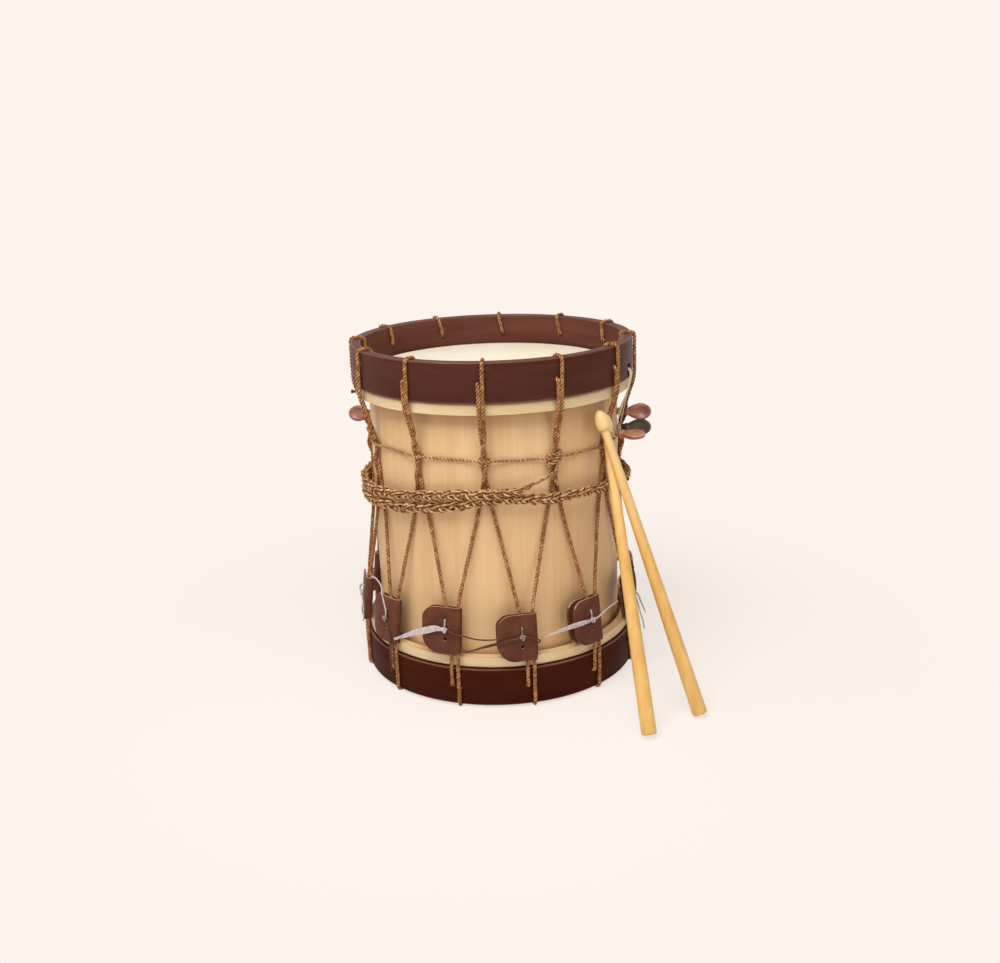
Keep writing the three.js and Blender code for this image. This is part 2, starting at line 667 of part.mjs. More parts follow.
function buildPegs() {
  const peg = buildPegGeometry();
  Object.entries(PEGS).forEach(([name, { azimuth, height, turn }]) => {
    const outward = outwardAt(azimuth);
    const frame = new THREE.Matrix4();
    frame.makeBasis(upward, outward, upward.clone().cross(outward));
    frame.multiply(new THREE.Matrix4().makeRotationY(radians(turn)));
    frame.setPosition(place(azimuth, PEG_TIP - PEG_LENGTH, 0, height));
    addPart(name, peg.clone(), 'rosewood', frame);
  });
  const shank = roundTube(
    [place(NAIL.azimuth, NAIL.inner, 0, NAIL.height), place(NAIL.azimuth, NAIL.outer, 0, NAIL.height)],
    () => upward,
    8,
    NAIL.diameter,
  );
  addPart('hitch_nail', shank, 'iron');
}

// Gut strings lie across the batter head, leave by the gates and drop to the pegs and the nail
function gutEnd({ azimuth, height }, diameter, radius) {
  return place(azimuth, radius, 0, height + diameter / 2 + GUT / 2 + ROPE_CLEAR);
}

function buildStrings() {
  const right = SNARE_AZIMUTH;
  const left = SNARE_AZIMUTH - 180;
  const brow = HOOP_RADIUS + ROPE_CLEAR + GUT;
  const shin = LAP_RADIUS + 2 * ROPE_CLEAR + GUT;
  const sillZ = RIM_HIGH - HOOP_HEIGHT;
  const lapZ = LAP_TOP - LAP_HEIGHT;
  const pegs = ['snare_peg_right_1', 'snare_peg_right_2', 'snare_peg_right_3'];
  const strung = [
    gutEnd(PEGS.snare_peg_left, PEG_SHAFT, LEFT_WRAP),
    gutEnd(NAIL, NAIL.diameter, NAIL_HITCHES[0]),
    gutEnd(NAIL, NAIL.diameter, NAIL_HITCHES[1]),
  ];
  pegs.forEach((peg, m) => {
    const shift = (m - 1) * GUT_SPACING;
    const points = [
      strung[m],
      place(left, shin, shift, lapZ),
      place(left, brow, shift, sillZ),
      place(left, brow, shift, GUT_Z - GUT),
      place(left, brow - GUT, shift, GUT_Z),
      place(right, brow - GUT, -shift, GUT_Z),
      place(right, brow, -shift, GUT_Z - GUT),
      place(right, brow, -shift, sillZ),
      place(right, shin, -shift, lapZ),
      gutEnd(PEGS[peg], PEG_SHAFT, RIGHT_WRAP),
    ];
    const side = rightwardAt(right);
    addPart(`snare_string_${m + 1}`, roundTube(points, () => side, GUT_SIDES, GUT), 'gut');
  });
}

// Turned sticks with an acorn bead, leaning on the drum with their butts on the floor
function stickProfile() {
  const neckZ = STICK_LENGTH - BEAD_LENGTH;
  const butt = STICK_BUTT / 2;
  const neck = STICK_NECK / 2;
  const bead = BEAD / 2;
  return [
    [0, 0],
    [butt - 1.2, 0],
    [butt, 1.5],
    [butt - 0.6, 0.2 * STICK_LENGTH],
    [neck, neckZ],
    [0.8 * bead, neckZ + 0.6],
    [bead, neckZ + 0.25 * BEAD_LENGTH],
    [0.97 * bead, neckZ + 0.45 * BEAD_LENGTH],
    [0.76 * bead, neckZ + 0.75 * BEAD_LENGTH],
    [0.4 * bead, neckZ + 0.94 * BEAD_LENGTH],
    [0, STICK_LENGTH],
  ];
}

function buildSticks() {
  const stick = revolve(stickProfile(), 12);
  Object.entries(STICKS).forEach(([name, { butt, bead }]) => {
    const head = new THREE.Vector3(...bead);
    const foot = new THREE.Vector3(...butt, 0);
    const lean = head.clone().sub(foot).normalize();
    foot.copy(head).addScaledVector(lean, -(STICK_LENGTH - BEAD_LENGTH / 2));
    foot.z = (STICK_BUTT / 2) * Math.sqrt(1 - lean.z * lean.z) + GAP;
    const turn = new THREE.Quaternion().setFromUnitVectors(upward, head.sub(foot).normalize());
    const frame = new THREE.Matrix4().makeRotationFromQuaternion(turn);
    addPart(name, stick.clone(), 'beech', frame.setPosition(foot));
  });
}

buildShell();
buildHeads();
buildCounterhoops();
buildRope();
buildTugs();
buildBelt();
buildGirdle();
buildPegs();
buildStrings();
buildSticks();

export default drum;
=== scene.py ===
"""Looks of the renaissance drum: laid rope, plait, leather, skins and turned wood. Metres, +Z up."""

import math
import random

import bpy
from mathutils import Matrix, Vector


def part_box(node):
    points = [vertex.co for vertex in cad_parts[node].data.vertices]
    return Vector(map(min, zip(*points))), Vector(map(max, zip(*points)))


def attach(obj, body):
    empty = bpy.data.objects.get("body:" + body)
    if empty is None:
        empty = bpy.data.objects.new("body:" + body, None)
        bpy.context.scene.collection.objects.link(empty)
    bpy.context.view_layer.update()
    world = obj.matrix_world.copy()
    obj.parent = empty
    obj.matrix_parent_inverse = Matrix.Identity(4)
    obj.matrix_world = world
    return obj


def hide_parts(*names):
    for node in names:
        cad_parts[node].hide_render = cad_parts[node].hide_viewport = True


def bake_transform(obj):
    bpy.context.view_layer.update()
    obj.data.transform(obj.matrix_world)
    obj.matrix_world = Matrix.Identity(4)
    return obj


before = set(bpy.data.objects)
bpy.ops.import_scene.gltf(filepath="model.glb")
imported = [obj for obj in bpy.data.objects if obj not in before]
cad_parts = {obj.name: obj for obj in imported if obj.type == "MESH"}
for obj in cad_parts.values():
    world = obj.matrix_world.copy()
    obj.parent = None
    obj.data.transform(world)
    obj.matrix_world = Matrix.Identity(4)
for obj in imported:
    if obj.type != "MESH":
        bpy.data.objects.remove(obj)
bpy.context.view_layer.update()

# Camera of the photograph
PICTURE_WIDTH = 1000
FOCAL_PIXELS = 1190.06
SENSOR_MM = 36.0
CAMERA_AT = (0.0, -1.49976, 0.68793)
CAMERA_YAW = 0.1958
CAMERA_PITCH = 16.737
CAMERA_ROLL = -1.8415

# Hoops, shell and heads
HOOP_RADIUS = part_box("upper_counterhoop")[1].x
RIM_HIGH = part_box("upper_counterhoop")[1].z
RIM_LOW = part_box("lower_counterhoop")[0].z
HOOP_HEIGHT = RIM_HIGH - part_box("upper_counterhoop")[0].z
SHELL_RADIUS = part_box("shell")[1].x
SHELL_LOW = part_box("shell")[0].z
SHELL_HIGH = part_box("shell")[1].z
LAP_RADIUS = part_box("batter_head")[1].x
LAP_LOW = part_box("batter_head")[0].z
HEAD_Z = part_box("batter_head")[1].z
MIDDLE_Z = (RIM_LOW + RIM_HIGH) / 2
HOOP_WALL = 0.0125
HOOP_ROUND = 0.0018
HOOP_MIDDLE = HOOP_RADIUS - HOOP_WALL / 2
HOOP_STEPS = 192
CUTTER_DEPTH = 3 * HOOP_WALL
CUTTER_SIDES = 24
SHELL_WALL = 0.006
SHELL_ROUND = 0.0012
SKIN = 0.0011
SKIN_CLEAR = 0.0003
SKIN_EDGE = 0.0012
SKIN_EDGE_ROUND = 0.0022
COLLAR = 0.0038
COLLAR_RISE = 0.0008
LAP_TOP = RIM_HIGH - HOOP_HEIGHT - SKIN_CLEAR
LAP_ROUND = 0.003
TURNING_STEPS = 144
ARC_STEPS = 6

# Tension rope: one course for each tug
COURSES = 12
COURSE_STEP = 360 / COURSES
ROPE = 0.0050
ROPE_STRANDS = 3
ROPE_LAY = 0.0135
ROPE_SIT = 0.002165
ROPE_CLEAR = 0.0005
ROPE_STEP = 0.0011
ROPE_BEND = 0.006
STRAND_BEND = 0.03
STRAND_OFFSET = 0.245
STRAND_WIDTH = 0.51
GROOVE = 0.64
NOTCH_DEPTH = 0.0015
NOTCH_WIDTH = 0.0064
ROPE_HOLE = 0.0054
HEAD_AZIMUTH = -4.7
FOOT_AZIMUTH = 11.3

# Half the gap between two strands: at the upper rim, down a pair and at a tug
RIM_HALF = 0.0028
PAIR_HALF = 0.0023
FOOT_HALF = 0.0042

# Heights down a strand: it leaves the hoop at its shoulder, twines with its neighbour as far as the
# split, lies on the shell down to its heel, and leans out through its tug to the ankle
HOOP_FACE_Z = 0.395
SHOULDER_Z = 0.375
TWINE_Z = 0.345
TWINE_EASE = 1.5
TUCK_Z = 0.318
SPLIT_Z = 0.275
HEEL_Z = 0.224
ANKLE_Z = 0.064
HOOP_CLEAR_Z = 0.054

# Radii and heights of the rope's middle line where it goes over the hoops and through them
ROPE_OUT = HOOP_RADIUS + ROPE_CLEAR + ROPE_SIT
ROPE_IN = HOOP_RADIUS - HOOP_WALL - ROPE_CLEAR - ROPE_SIT
ROPE_WAIST = SHELL_RADIUS + ROPE_CLEAR + ROPE_SIT
HOLE_HIGH = RIM_HIGH - HOOP_HEIGHT / 2
HOLE_LOW = RIM_LOW + HOOP_HEIGHT / 2
CREST_Z = RIM_HIGH - NOTCH_DEPTH + ROPE_CLEAR + ROPE_SIT
SOLE_Z = 0.0019
SOLE_FLAT = 0.0001
UPPER_ROPE_HAIRS = 26
LOWER_ROPE_HAIRS = 8
ROPE_SEED = 12

# Loose fibres of the hemp: their middle as shares of their length, lift and lean
FIBRE = 0.00032
FIBRE_LENGTH = (0.003, 0.008)
FIBRE_LIFT = (0.0006, 0.0026)
FIBRE_LEAN = 0.003
FIBRE_MIDDLE = (0.55, 0.8, 0.3)
FIBRE_ROOT = 0.85
FIBRE_MARGIN = 4
# How far the loose fibres count as standing out, which gives them the hemp's painted light
FIBRE_CREST_SHADE = 0.9

# Tugs and their laces; each tug has its own lift along the strands and its own curl of flap
TUG_Z = 0.0965
TUG_LIFTS_MM = (-4, 0, 0, 2, -3, 1, 4, -2, 0, -2, -2, 4)
TUG_CURLS_MM = (0, 0, -6, 5, 3, 3, 3, 3, 3, 4, 5, 2)
TUG_HEIGHT = 0.058
TUG_WIDTH = 0.050
LEATHER = 0.0024
POCKET_HALF = 0.0029
POCKET_LEFT = -0.016
FLAP_HALF_GAP = 0.004
FLAP_STEPS = 8
TUG_FRONT = POCKET_HALF + LEATHER
TUG_RIGHT = FOOT_HALF + TUG_FRONT
TUG_LEFT = TUG_RIGHT - TUG_WIDTH
FLAP_LENGTH = POCKET_LEFT - TUG_LEFT
TUG_UPPER_ROUND = 0.016
TUG_LOWER_ROUND = 0.022
TUG_ROUND_STEPS = 10
TUG_EDGE = 0.00055
TUG_SPARE = 0.0003
FOLD_CUT = (0.003, 0.014)
FOLD_STEPS = 7
CUT_FACE = 0.6
PUNCH_SIDES = 20

# Where the left strand enters a tug and comes close to the right one: across, and from the top edge
STRAND_MOUTH = (-0.0115, 0.003)
STRAND_MEET = (-0.0056, 0.013)

# Lace: its holes on one line, its loop, and the width, height and depth of its knot
LACE_HOLE = 0.0046
LACE_SLIT = 0.0026
LACE_LINE = -0.0104
LACE_MID = 0.0015
LACE_HALF = 0.0122
LACE = 0.0016
LACE_LOOP = 1.15 * LACE
LACE_CLEAR = 0.0003
LACE_BEND = 0.0022
LACE_STEP = 0.0012
LACE_KNOT = (0.00115, 0.00105, 0.0008)
LACE_KNOT_OUT = 0.003
LACE_KNOT_CORD = 0.0021
LACE_KNOT_STEPS = 56

# Waist belt: three strands of three yarns, thin at the knot and tucked in at the far end
BELT_RADIUS = 0.1706
BELT_STRANDS = 3
BELT_STRAND = 0.0062
BELT_YARNS = 3
BELT_YARN_LAY = 0.042
BELT_YARN_OFFSET = 0.26
BELT_YARN_WIDTH = 0.48
BELT_WANDER = 0.0007
BELT_WAVES = (4.5, 27)
BELT_DRIFT = 0.35
BELT_PITCH = 0.034
BELT_RISE = 0.0042
BELT_DEPTH = 0.0022
BELT_TAIL_SHARE = 0.27
BELT_SWELL = (0.025, 0.085)
BELT_TUCK = 0.965
BELT_POINTS = 900
BELT_STEP = 0.0013
BELT_HAIRS = 900
BELT_SMOOTH_PART = 9
BELT_REACH = BELT_RISE + 0.3 * BELT_STRAND
BELT_SEED = 5

# Girdle, its hitches and its knot
GIRDLE = 0.0038
GIRDLE_STRANDS = 2
GIRDLE_LAY = 0.0095
GIRDLE_STEP = 0.0009
GIRDLE_BEND = 0.012
GIRDLE_SLACK = (0.3, 0.5, 0.7)
GIRDLE_Z = 0.309
GIRDLE_TILT = 0.004
GIRDLE_LOW_AZIMUTH = 110
GIRDLE_PAIR_REACH = 2
HITCH_CORD = 0.0028
HITCH_ROOM = (0.0036, 0.0018)
HITCH_RISE = 0.0017
HITCH_SLANT = 0.0016
HITCH_PHASE = 1.53
HITCH_STEPS = 40
KNOT_AZIMUTH = HEAD_AZIMUTH + COURSE_STEP
KNOT_CORD = 0.0042
KNOT_WIDE = 0.0084
KNOT_DEEP = 0.0054
KNOT_BACK = -0.0008
KNOT_LEAN = 0.22
KNOT_RISE = 0.0048
KNOT_STEPS = 48
KNOT_POINTS = 40
KNOT_HAIRS = 14
KNOT_SEED = 7

# The knot's slanting turn and hanging end: across, up and out from the middle of its pair
KNOT_SLANT = (
    (-0.0095, -0.0085, 0.002), (-0.005, -0.004, 0.0082),
    (0.003, 0.003, 0.0088), (0.0092, 0.0075, 0.002),
)
KNOT_END = (
    (-0.0072, -0.006, 0.004), (-0.0085, -0.0145, 0.0046),
    (-0.004, -0.0235, 0.0062), (0.0015, -0.032, 0.0072),
)

# Snare, pegs and nail
SNARE_AZIMUTH = 71
GATE_WIDTH = 0.014
GATE_HEIGHT = 0.015
GATE_SILL = 0.0035
GATE_ROUND = 0.003
GUT = 0.0014
GUT_SPACING = 0.004
GUT_Z = HEAD_Z + GUT / 2 + SKIN_CLEAR
GUT_BEND = 0.003
GUT_STEP = 0.003
WINDING_POINTS = 24
WINDING_PITCH = 1.05 * GUT
PEG_SHAFT = 0.008
PEG_WAIST = 0.98 * PEG_SHAFT
PEG_LENGTH = 0.056
PEG_TIP = 0.202
PEG_TURNS = 3
PEG_FOOT = 0.84
PEG_NECK_GAP = 0.001
PEG_STEPS = 32

# The peg's collar: share of the shaft's radius, and height from the neck
PEG_COLLAR = (
    (1, -0.0045), (1.18, -0.0035), (1.32, -0.002), (1.32, -0.0005), (1.14, 0.0012), (0.86, 0.003),
    (0.62, 0.006), (0.6, 0.009), (0, 0.009),
)

# The thumb piece: half its width, length and thickness, its dish and the way it narrows to the shaft
PADDLE = (0.0108, 0.0144, 0.0038)
PADDLE_BLUNT = 6
PADDLE_TAPER = 0.22
PADDLE_DRAW = 0.28
PADDLE_RIM = 0.45
DISH = 0.78
DISH_WIDE = 0.66
DISH_HIGH = 0.002
DISH_EDGE = 1.6

# Azimuth, height and turn of each peg
PEGS = {
    "snare_peg_right_1": (81, 0.3325, -14),
    "snare_peg_right_2": (81.5, 0.3118, -6),
    "snare_peg_right_3": (67, 0.314, -78),
    "snare_peg_left": (-106, 0.323, 15),
}

# Azimuth, height and diameter of the nail; its head as share of its radius, and height from its end
NAIL = (-103, 0.355, 0.0036)
NAIL_SPAN = (0.150, 0.192)
NAIL_HEAD = ((1, -0.0018), (1.5, -0.0014), (1.55, -0.0004), (1.1, 0), (0, 0.0002))
NAIL_HITCHES = (0.174, 0.181)
NAIL_TURNS = 2
NAIL_STEPS = 24
LEFT_WRAP = 0.169
RIGHT_WRAP = 0.163

# Sticks
STICK_LENGTH = 0.383
STICK_BUTT = 0.0184
STICK_NECK = 0.0098
STICK_BELLY = 0.0006
STICK_BELLY_SHARE = 0.2
NECK_FLARE = 0.0001
NECK_RUN = 0.012
BEAD = 0.0176
BEAD_LENGTH = 0.0245
STICK_STEPS = 48
STICK_PALE_Z = (0.2, 0.34)
FLOOR_CLEAR = 0.0003

# The butt's rounded edge: inward from its radius, and height
BUTT_ROUND = ((0.0022, 0), (0.0009, 0.0004), (0.0002, 0.0014), (0, 0.003))

# The acorn bead from its seat to its tip: shares of its radius and of its length
BEAD_OUTLINE = (
    (0.74, 0.004), (0.83, 0.02), (0.93, 0.1), (0.985, 0.19), (1.0, 0.28), (0.99, 0.4), (0.95, 0.52),
    (0.87, 0.65), (0.74, 0.78), (0.56, 0.89), (0.34, 0.965), (0.14, 0.995), (0, 1.0),
)

# Butt on the floor and middle of the bead
STICKS = {
    "drum_stick_1": ((0.236, -0.2187), (0.1278, -0.1278, 0.3465)),
    "drum_stick_2": ((0.1679, -0.2656), (0.1338, -0.1104, 0.3368)),
}


# Places round the drum: azimuth in degrees, 0 at the front and 90 at the right

UP = Vector((0, 0, 1))


def outward(azimuth):
    return Vector((math.sin(math.radians(azimuth)), -math.cos(math.radians(azimuth)), 0))


def rightward(azimuth):
    return Vector((math.cos(math.radians(azimuth)), math.sin(math.radians(azimuth)), 0))


def place(azimuth, radius, shift, height):
    return outward(azimuth) * radius + rightward(azimuth) * shift + UP * height


def radial_frame(azimuth, radius, shift, height):
    """Local X to the right, Y up, Z outward."""
    turn = Matrix((rightward(azimuth), UP, outward(azimuth))).transposed().to_4x4()
    return Matrix.Translation(place(azimuth, radius, shift, height)) @ turn


def numbered(stem, k):
    return f"{stem}_{k + 1:02d}"


def arc(x, y, radius, start, end, steps):
    """Points of an arc between two angles in degrees, from X towards Y."""
    angles = [math.radians(start + (end - start) * i / steps) for i in range(steps + 1)]
    return [(x + radius * math.cos(a), y + radius * math.sin(a)) for a in angles]


def full_turn(steps):
    """Angles of a full turn, its first and last included."""
    return [2 * math.pi * i / steps for i in range(steps + 1)]


# Modelling steps

SAME_POINT = 1e-6


def deselect_all():
    bpy.ops.object.select_all(action="DESELECT")


def take(piece):
    deselect_all()
    piece.select_set(True)
    bpy.context.view_layer.objects.active = piece
    return piece


def apply_step(piece, step):
    take(piece)
    bpy.ops.object.modifier_apply(modifier=step.name)


def start_point(name, at):
    """A single vertex to draw a profile from, left in edit mode."""
    deselect_all()
    bpy.ops.mesh.primitive_plane_add(size=0.001, location=(0, 0, 0))
    piece = bpy.context.object
    piece.name = name
    bpy.ops.object.mode_set(mode="EDIT")
    bpy.ops.mesh.select_all(action="SELECT")
    bpy.ops.mesh.merge(type="CENTER")
    bpy.ops.transform.translate(value=at)
    return piece


def extrude(by):
    bpy.ops.mesh.extrude_region_move(TRANSFORM_OT_translate={"value": by})


def draw_on(points):
    for here, there in zip(points, points[1:]):
        extrude(Vector(there) - Vector(here))


def close_up():
    """Merges doubles and turns the faces outwards, then leaves edit mode."""
    bpy.ops.mesh.select_all(action="SELECT")
    bpy.ops.mesh.remove_doubles(threshold=SAME_POINT)
    bpy.ops.mesh.normals_make_consistent(inside=False)
    bpy.ops.object.mode_set(mode="OBJECT")


def turned(name, profile, steps=TURNING_STEPS):
    """A piece turned about +Z from a profile of (radius, height)."""
    points = [(radius, 0, height) for radius, height in profile]
    piece = start_point(name, points[0])
    draw_on(points)
    bpy.ops.mesh.select_all(action="SELECT")
    bpy.ops.mesh.spin(steps=steps, angle=2 * math.pi, center=(0, 0, 0), axis=(0, 0, 1))
    close_up()
    return piece


def copy_of(piece, name, matrix):
    twin = piece.copy()
    twin.data = piece.data.copy()
    twin.name = name
    bpy.context.collection.objects.link(twin)
    twin.data.transform(matrix)
    return twin


def joined(name, pieces):
    deselect_all()
    for piece in pieces:
        piece.select_set(True)
    bpy.context.view_layer.objects.active = pieces[0]
    bpy.ops.object.join()
    pieces[0].name = name
    return pieces[0]


def cut(piece, cutter, operation="DIFFERENCE"):
    step = piece.modifiers.new("cut", "BOOLEAN")
    step.operation = operation
    step.solver = "EXACT"
    step.object = cutter
    apply_step(piece, step)
    bpy.data.objects.remove(cutter)
    return piece


def soften(piece, width, segments=3, angle=35, edge_material=-1):
    """Rounds the sharp edges, with a finish of their own where one is named."""
    step = piece.modifiers.new("soften", "BEVEL")
    step.width = width
    step.segments = segments
    step.limit_method = "ANGLE"
    step.angle_limit = math.radians(angle)
    step.material = edge_material
    apply_step(piece, step)
    return piece


def thicken(piece, thickness):
    """Gives a sheet its thickness, half to each side."""
    step = piece.modifiers.new("wall", "SOLIDIFY")
    step.thickness = thickness
    step.offset = 0
    apply_step(piece, step)
    return piece


def smooth(piece, angle=40):
    take(piece)
    bpy.ops.object.shade_smooth_by_angle(angle=math.radians(angle))
    return piece


def round_cutter(diameter, depth, sides):
    deselect_all()
    bpy.ops.mesh.primitive_cylinder_add(vertices=sides, radius=diameter / 2, depth=depth)
    return bpy.context.object


def finished(piece, finish, body, node=None):
    """Gives a piece its finish and body, and hides the CAD node that it stands for."""
    if finish is not None:
        piece.data.materials.clear()
        piece.data.materials.append(finish)
    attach(piece, body)
    if node:
        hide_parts(node)
    return piece


# Routes of cords

BEND_SHARES = (0, 0.17, 0.33, 0.5, 0.67, 0.83, 1)
CURVE_STEPS = 12
NO_LENGTH = 1e-9


def eased(points, radius):
    """Rounds each corner of a route by a curve that starts the given length before it."""
    soft = [points[0]]
    for before, here, after in zip(points, points[1:], points[2:]):
        back, ahead = before - here, after - here
        reach = min(radius, back.length / 2, ahead.length / 2)
        a, b = here + back.normalized() * reach, here + ahead.normalized() * reach
        for share in BEND_SHARES:
            soft.append(a.lerp(here, share).lerp(here.lerp(b, share), share))
    soft.append(points[-1])
    return soft


def spaced(points, step):
    """The same route with points an even step apart."""
    lengths = [0.0]
    for here, there in zip(points, points[1:]):
        lengths.append(lengths[-1] + (there - here).length)
    count = max(2, round(lengths[-1] / step))
    even, leg = [], 0
    for i in range(count + 1):
        along = lengths[-1] * i / count
        while leg < len(points) - 2 and lengths[leg + 1] < along:
            leg += 1
        span = lengths[leg + 1] - lengths[leg]
        share = (along - lengths[leg]) / span if span > NO_LENGTH else 0
        even.append(points[leg].lerp(points[leg + 1], min(1, share)))
    return even


def length_of(points):
    return sum((there - here).length for here, there in zip(points, points[1:]))


def soft_route(corners, count):
    """A smooth curve through a few points, with the given number of points."""
    padded = [corners[0] * 2 - corners[1]] + corners + [corners[-1] * 2 - corners[-2]]
    fine = []
    for a, b, c, d in zip(padded, padded[1:], padded[2:], padded[3:]):
        for i in range(CURVE_STEPS):
            t = i / CURVE_STEPS
            fine.append(0.5 * (2 * b + (c - a) * t + (2 * a - 5 * b + 4 * c - d) * t * t
                               + (3 * b - a - 3 * c + d) * t * t * t))
    fine.append(corners[-1])
    return spaced(fine, length_of(fine) / (count - 1))


def frames_along(points, side):
    """Two directions across the route at each point, carried along it without twist."""
    pairs = []
    for i in range(len(points)):
        along = (points[min(i + 1, len(points) - 1)] - points[max(i - 1, 0)]).normalized()
        side = (side - along * side.dot(along)).normalized()
        pairs.append((side, along.cross(side)))
    return pairs


def steady(share):
    return 1


def laid(points, strands, offset, lay, side=UP, swell=steady):
    """Lines of the strands of a laid cord: each turns round the route once in every lay."""
    frames = frames_along(points, side)
    last = len(points) - 1
    step = length_of(points) / last
    lines = []
    for m in range(strands):
        turn = [2 * math.pi * (m / strands + i * step / lay) for i in range(len(points))]
        lines.append([p + (u * math.cos(a) + v * math.sin(a)) * offset * swell(i / last)
                      for i, (p, (u, v), a) in enumerate(zip(points, frames, turn))])
    return lines


def tube(name, lines, thickness, roundness=2, swell=steady, axes=None, reaches=None):
    """Round tubes along lines, as one mesh whose UV map runs in metres along each line."""
    deselect_all()
    bpy.ops.curve.primitive_nurbs_path_add()
    piece = bpy.context.object
    piece.name = name
    curve = piece.data
    curve.splines.clear()
    for line in lines:
        spline = curve.splines.new("POLY")
        spline.points.add(len(line) - 1)
        for i, (knot, point) in enumerate(zip(spline.points, line)):
            knot.co = (*point, 1)
            knot.radius = swell(i / (len(line) - 1))
    curve.dimensions = "3D"
    curve.twist_mode = "MINIMUM"
    curve.bevel_depth = thickness / 2
    curve.bevel_resolution = roundness
    curve.use_fill_caps = True
    bpy.ops.object.convert(target="MESH")
    piece = bpy.context.object
    run = length_of(lines[0])
    for corner in piece.data.uv_layers[0].data:
        corner.uv[0] *= run
    if axes:
        mark_crests(piece, axes, reaches, 2 * len(lines))
    bpy.ops.object.mode_set(mode="EDIT")
    close_up()
    bpy.ops.object.shade_smooth()
    return piece


def mark_crests(piece, axes, reaches, caps):
    """Stores how far each point of a laid cord stands out: 0 in its grooves and 1 on the strands' backs. The
    hemp finish turns this into painted shade in the grooves and painted light on the backs.
    """
    ring = len(piece.data.vertices) // (len(axes) + caps)
    crest_shade = piece.data.attributes.new("crest_shade", "FLOAT", "POINT")
    for vertex in piece.data.vertices[caps * ring:]:
        row = vertex.index // ring - caps
        out = (vertex.co - axes[row]).length / reaches[row]
        crest_shade.data[vertex.index].value = min(1, max(0, (out - GROOVE) / (1 - GROOVE)))


def laid_cord(name, routes, strands, thickness, lay):
    """A cord of twisted strands along one or more routes."""
    lines, axes = [], []
    for route in routes:
        lines += laid(route, strands, thickness * STRAND_OFFSET, lay)
        axes += route * strands
    reaches = [thickness / 2] * len(axes)
    return tube(name, lines, thickness * STRAND_WIDTH, 1, axes=axes, reaches=reaches)


def frayed(piece, route, reach, count, draw):
    """Adds loose fibres that lie along a cord and stand a little off it."""
    frames = frames_along(route, UP)
    bend, rise, swing = FIBRE_MIDDLE
    hairs = []
    for _ in range(count):
        i = draw.randrange(FIBRE_MARGIN, len(route) - FIBRE_MARGIN - 1)
        turn = draw.uniform(0, 2 * math.pi)
        u, v = frames[i]
        out = u * math.cos(turn) + v * math.sin(turn)
        along = (route[i + 1] - route[i]).normalized() * draw.choice((-1, 1))
        across = along.cross(out)
        long = draw.uniform(*FIBRE_LENGTH)
        lift = draw.uniform(*FIBRE_LIFT)
        lean = draw.uniform(-FIBRE_LEAN, FIBRE_LEAN)
        root = route[i] + out * reach * FIBRE_ROOT
        middle = root + along * long * bend + out * lift * rise + across * lean * swing
        hairs.append([root, middle, root + along * long + out * lift + across * lean])
    fuzz = tube("fuzz", hairs, FIBRE, roundness=0)
    # The loose fibres are marked as standing well out, so the hemp's painted light falls on them
    crest_shade = fuzz.data.attributes.new("crest_shade", "FLOAT", "POINT")
    for point in crest_shade.data:
        point.value = FIBRE_CREST_SHADE
    return joined(piece.name, [piece, fuzz])


# Finishes

# The part of a noise that is drawn out, how far under the lap the shell is darkened by painted shade, and how
# far below its top the skin turns from lap to head
NOISE_MIDDLE = (0.32, 0.68)
LAP_PAINTED_SHADE = 0.024
HEAD_FADE = (0.012, 0.002)

# Sockets of a Mix node that mixes colours
MIX_SHARE = 0
MIX_BASE = 6
MIX_OVER = 7
MIX_RESULT = 2


def paint(red, green, blue):
    """A colour as it is read off a screen, made linear."""
    channels = [c / 255 for c in (red, green, blue)]
    return tuple(c / 12.92 if c <= 0.04045 else ((c + 0.055) / 1.055) ** 2.4 for c in channels) + (1,)


def add_node(material, kind, inputs=None, **settings):
    made = material.node_tree.nodes.new(kind)
    for key, value in settings.items():
        setattr(made, key, value)
    for key, value in (inputs or {}).items():
        if isinstance(value, bpy.types.NodeSocket):
            material.node_tree.links.new(value, made.inputs[key])
        else:
            made.inputs[key].default_value = value
    return made


def new_finish(name, **shader_values):
    material = bpy.data.materials.new(name)
    material.use_nodes = True
    shader = material.node_tree.nodes["Principled BSDF"]
    for key, value in shader_values.items():
        shader.inputs[key.replace("_", " ")].default_value = value
    return material, shader


def object_place(material):
    return add_node(material, "ShaderNodeTexCoord").outputs["Object"]


def along_cord(material):
    return add_node(material, "ShaderNodeUVMap").outputs["UV"]


def parts_of(material, where):
    split = add_node(material, "ShaderNodeSeparateXYZ", {"Vector": where})
    return [split.outputs[axis] for axis in "XYZ"]


def cloud(material, where, scale, detail=4, roughness=0.55):
    """A noise between 0 and 1 at a number of features to the metre."""
    made = add_node(material, "ShaderNodeTexNoise",
                    {"Vector": where, "Scale": scale, "Detail": detail, "Roughness": roughness})
    return made.outputs["Fac"]


def grain(material, where, scales, detail=4, roughness=0.55):
    """A noise with its own number of features to the metre along each axis."""
    drawn = add_node(material, "ShaderNodeMapping", {"Vector": where, "Scale": scales}).outputs["Vector"]
    return cloud(material, drawn, 1, detail, roughness)


def ramp(material, value, *stops):
    made = add_node(material, "ShaderNodeValToRGB", {"Fac": value})
    elements = made.color_ramp.elements
    while len(elements) < len(stops):
        elements.new(0.5)
    for element, (position, colour) in zip(elements, stops):
        element.position = position
        element.color = colour
    return made.outputs["Color"]


def number(material, operation, a, b=0.0):
    return add_node(material, "ShaderNodeMath", {0: a, 1: b}, operation=operation).outputs["Value"]


def weighed(material, *parts):
    """The sum of values, each times its share."""
    total, *others = [number(material, "MULTIPLY", value, share) for value, share in parts]
    for other in others:
        total = number(material, "ADD", total, other)
    return total


def spread(material, value, low, high, start=0.0, end=1.0, eased_by="LINEAR"):
    """Goes from low to high while the value goes from start to end."""
    sockets = {"Value": value, "From Min": start, "From Max": end, "To Min": low, "To Max": high}
    return add_node(material, "ShaderNodeMapRange", sockets, interpolation_type=eased_by).outputs["Result"]


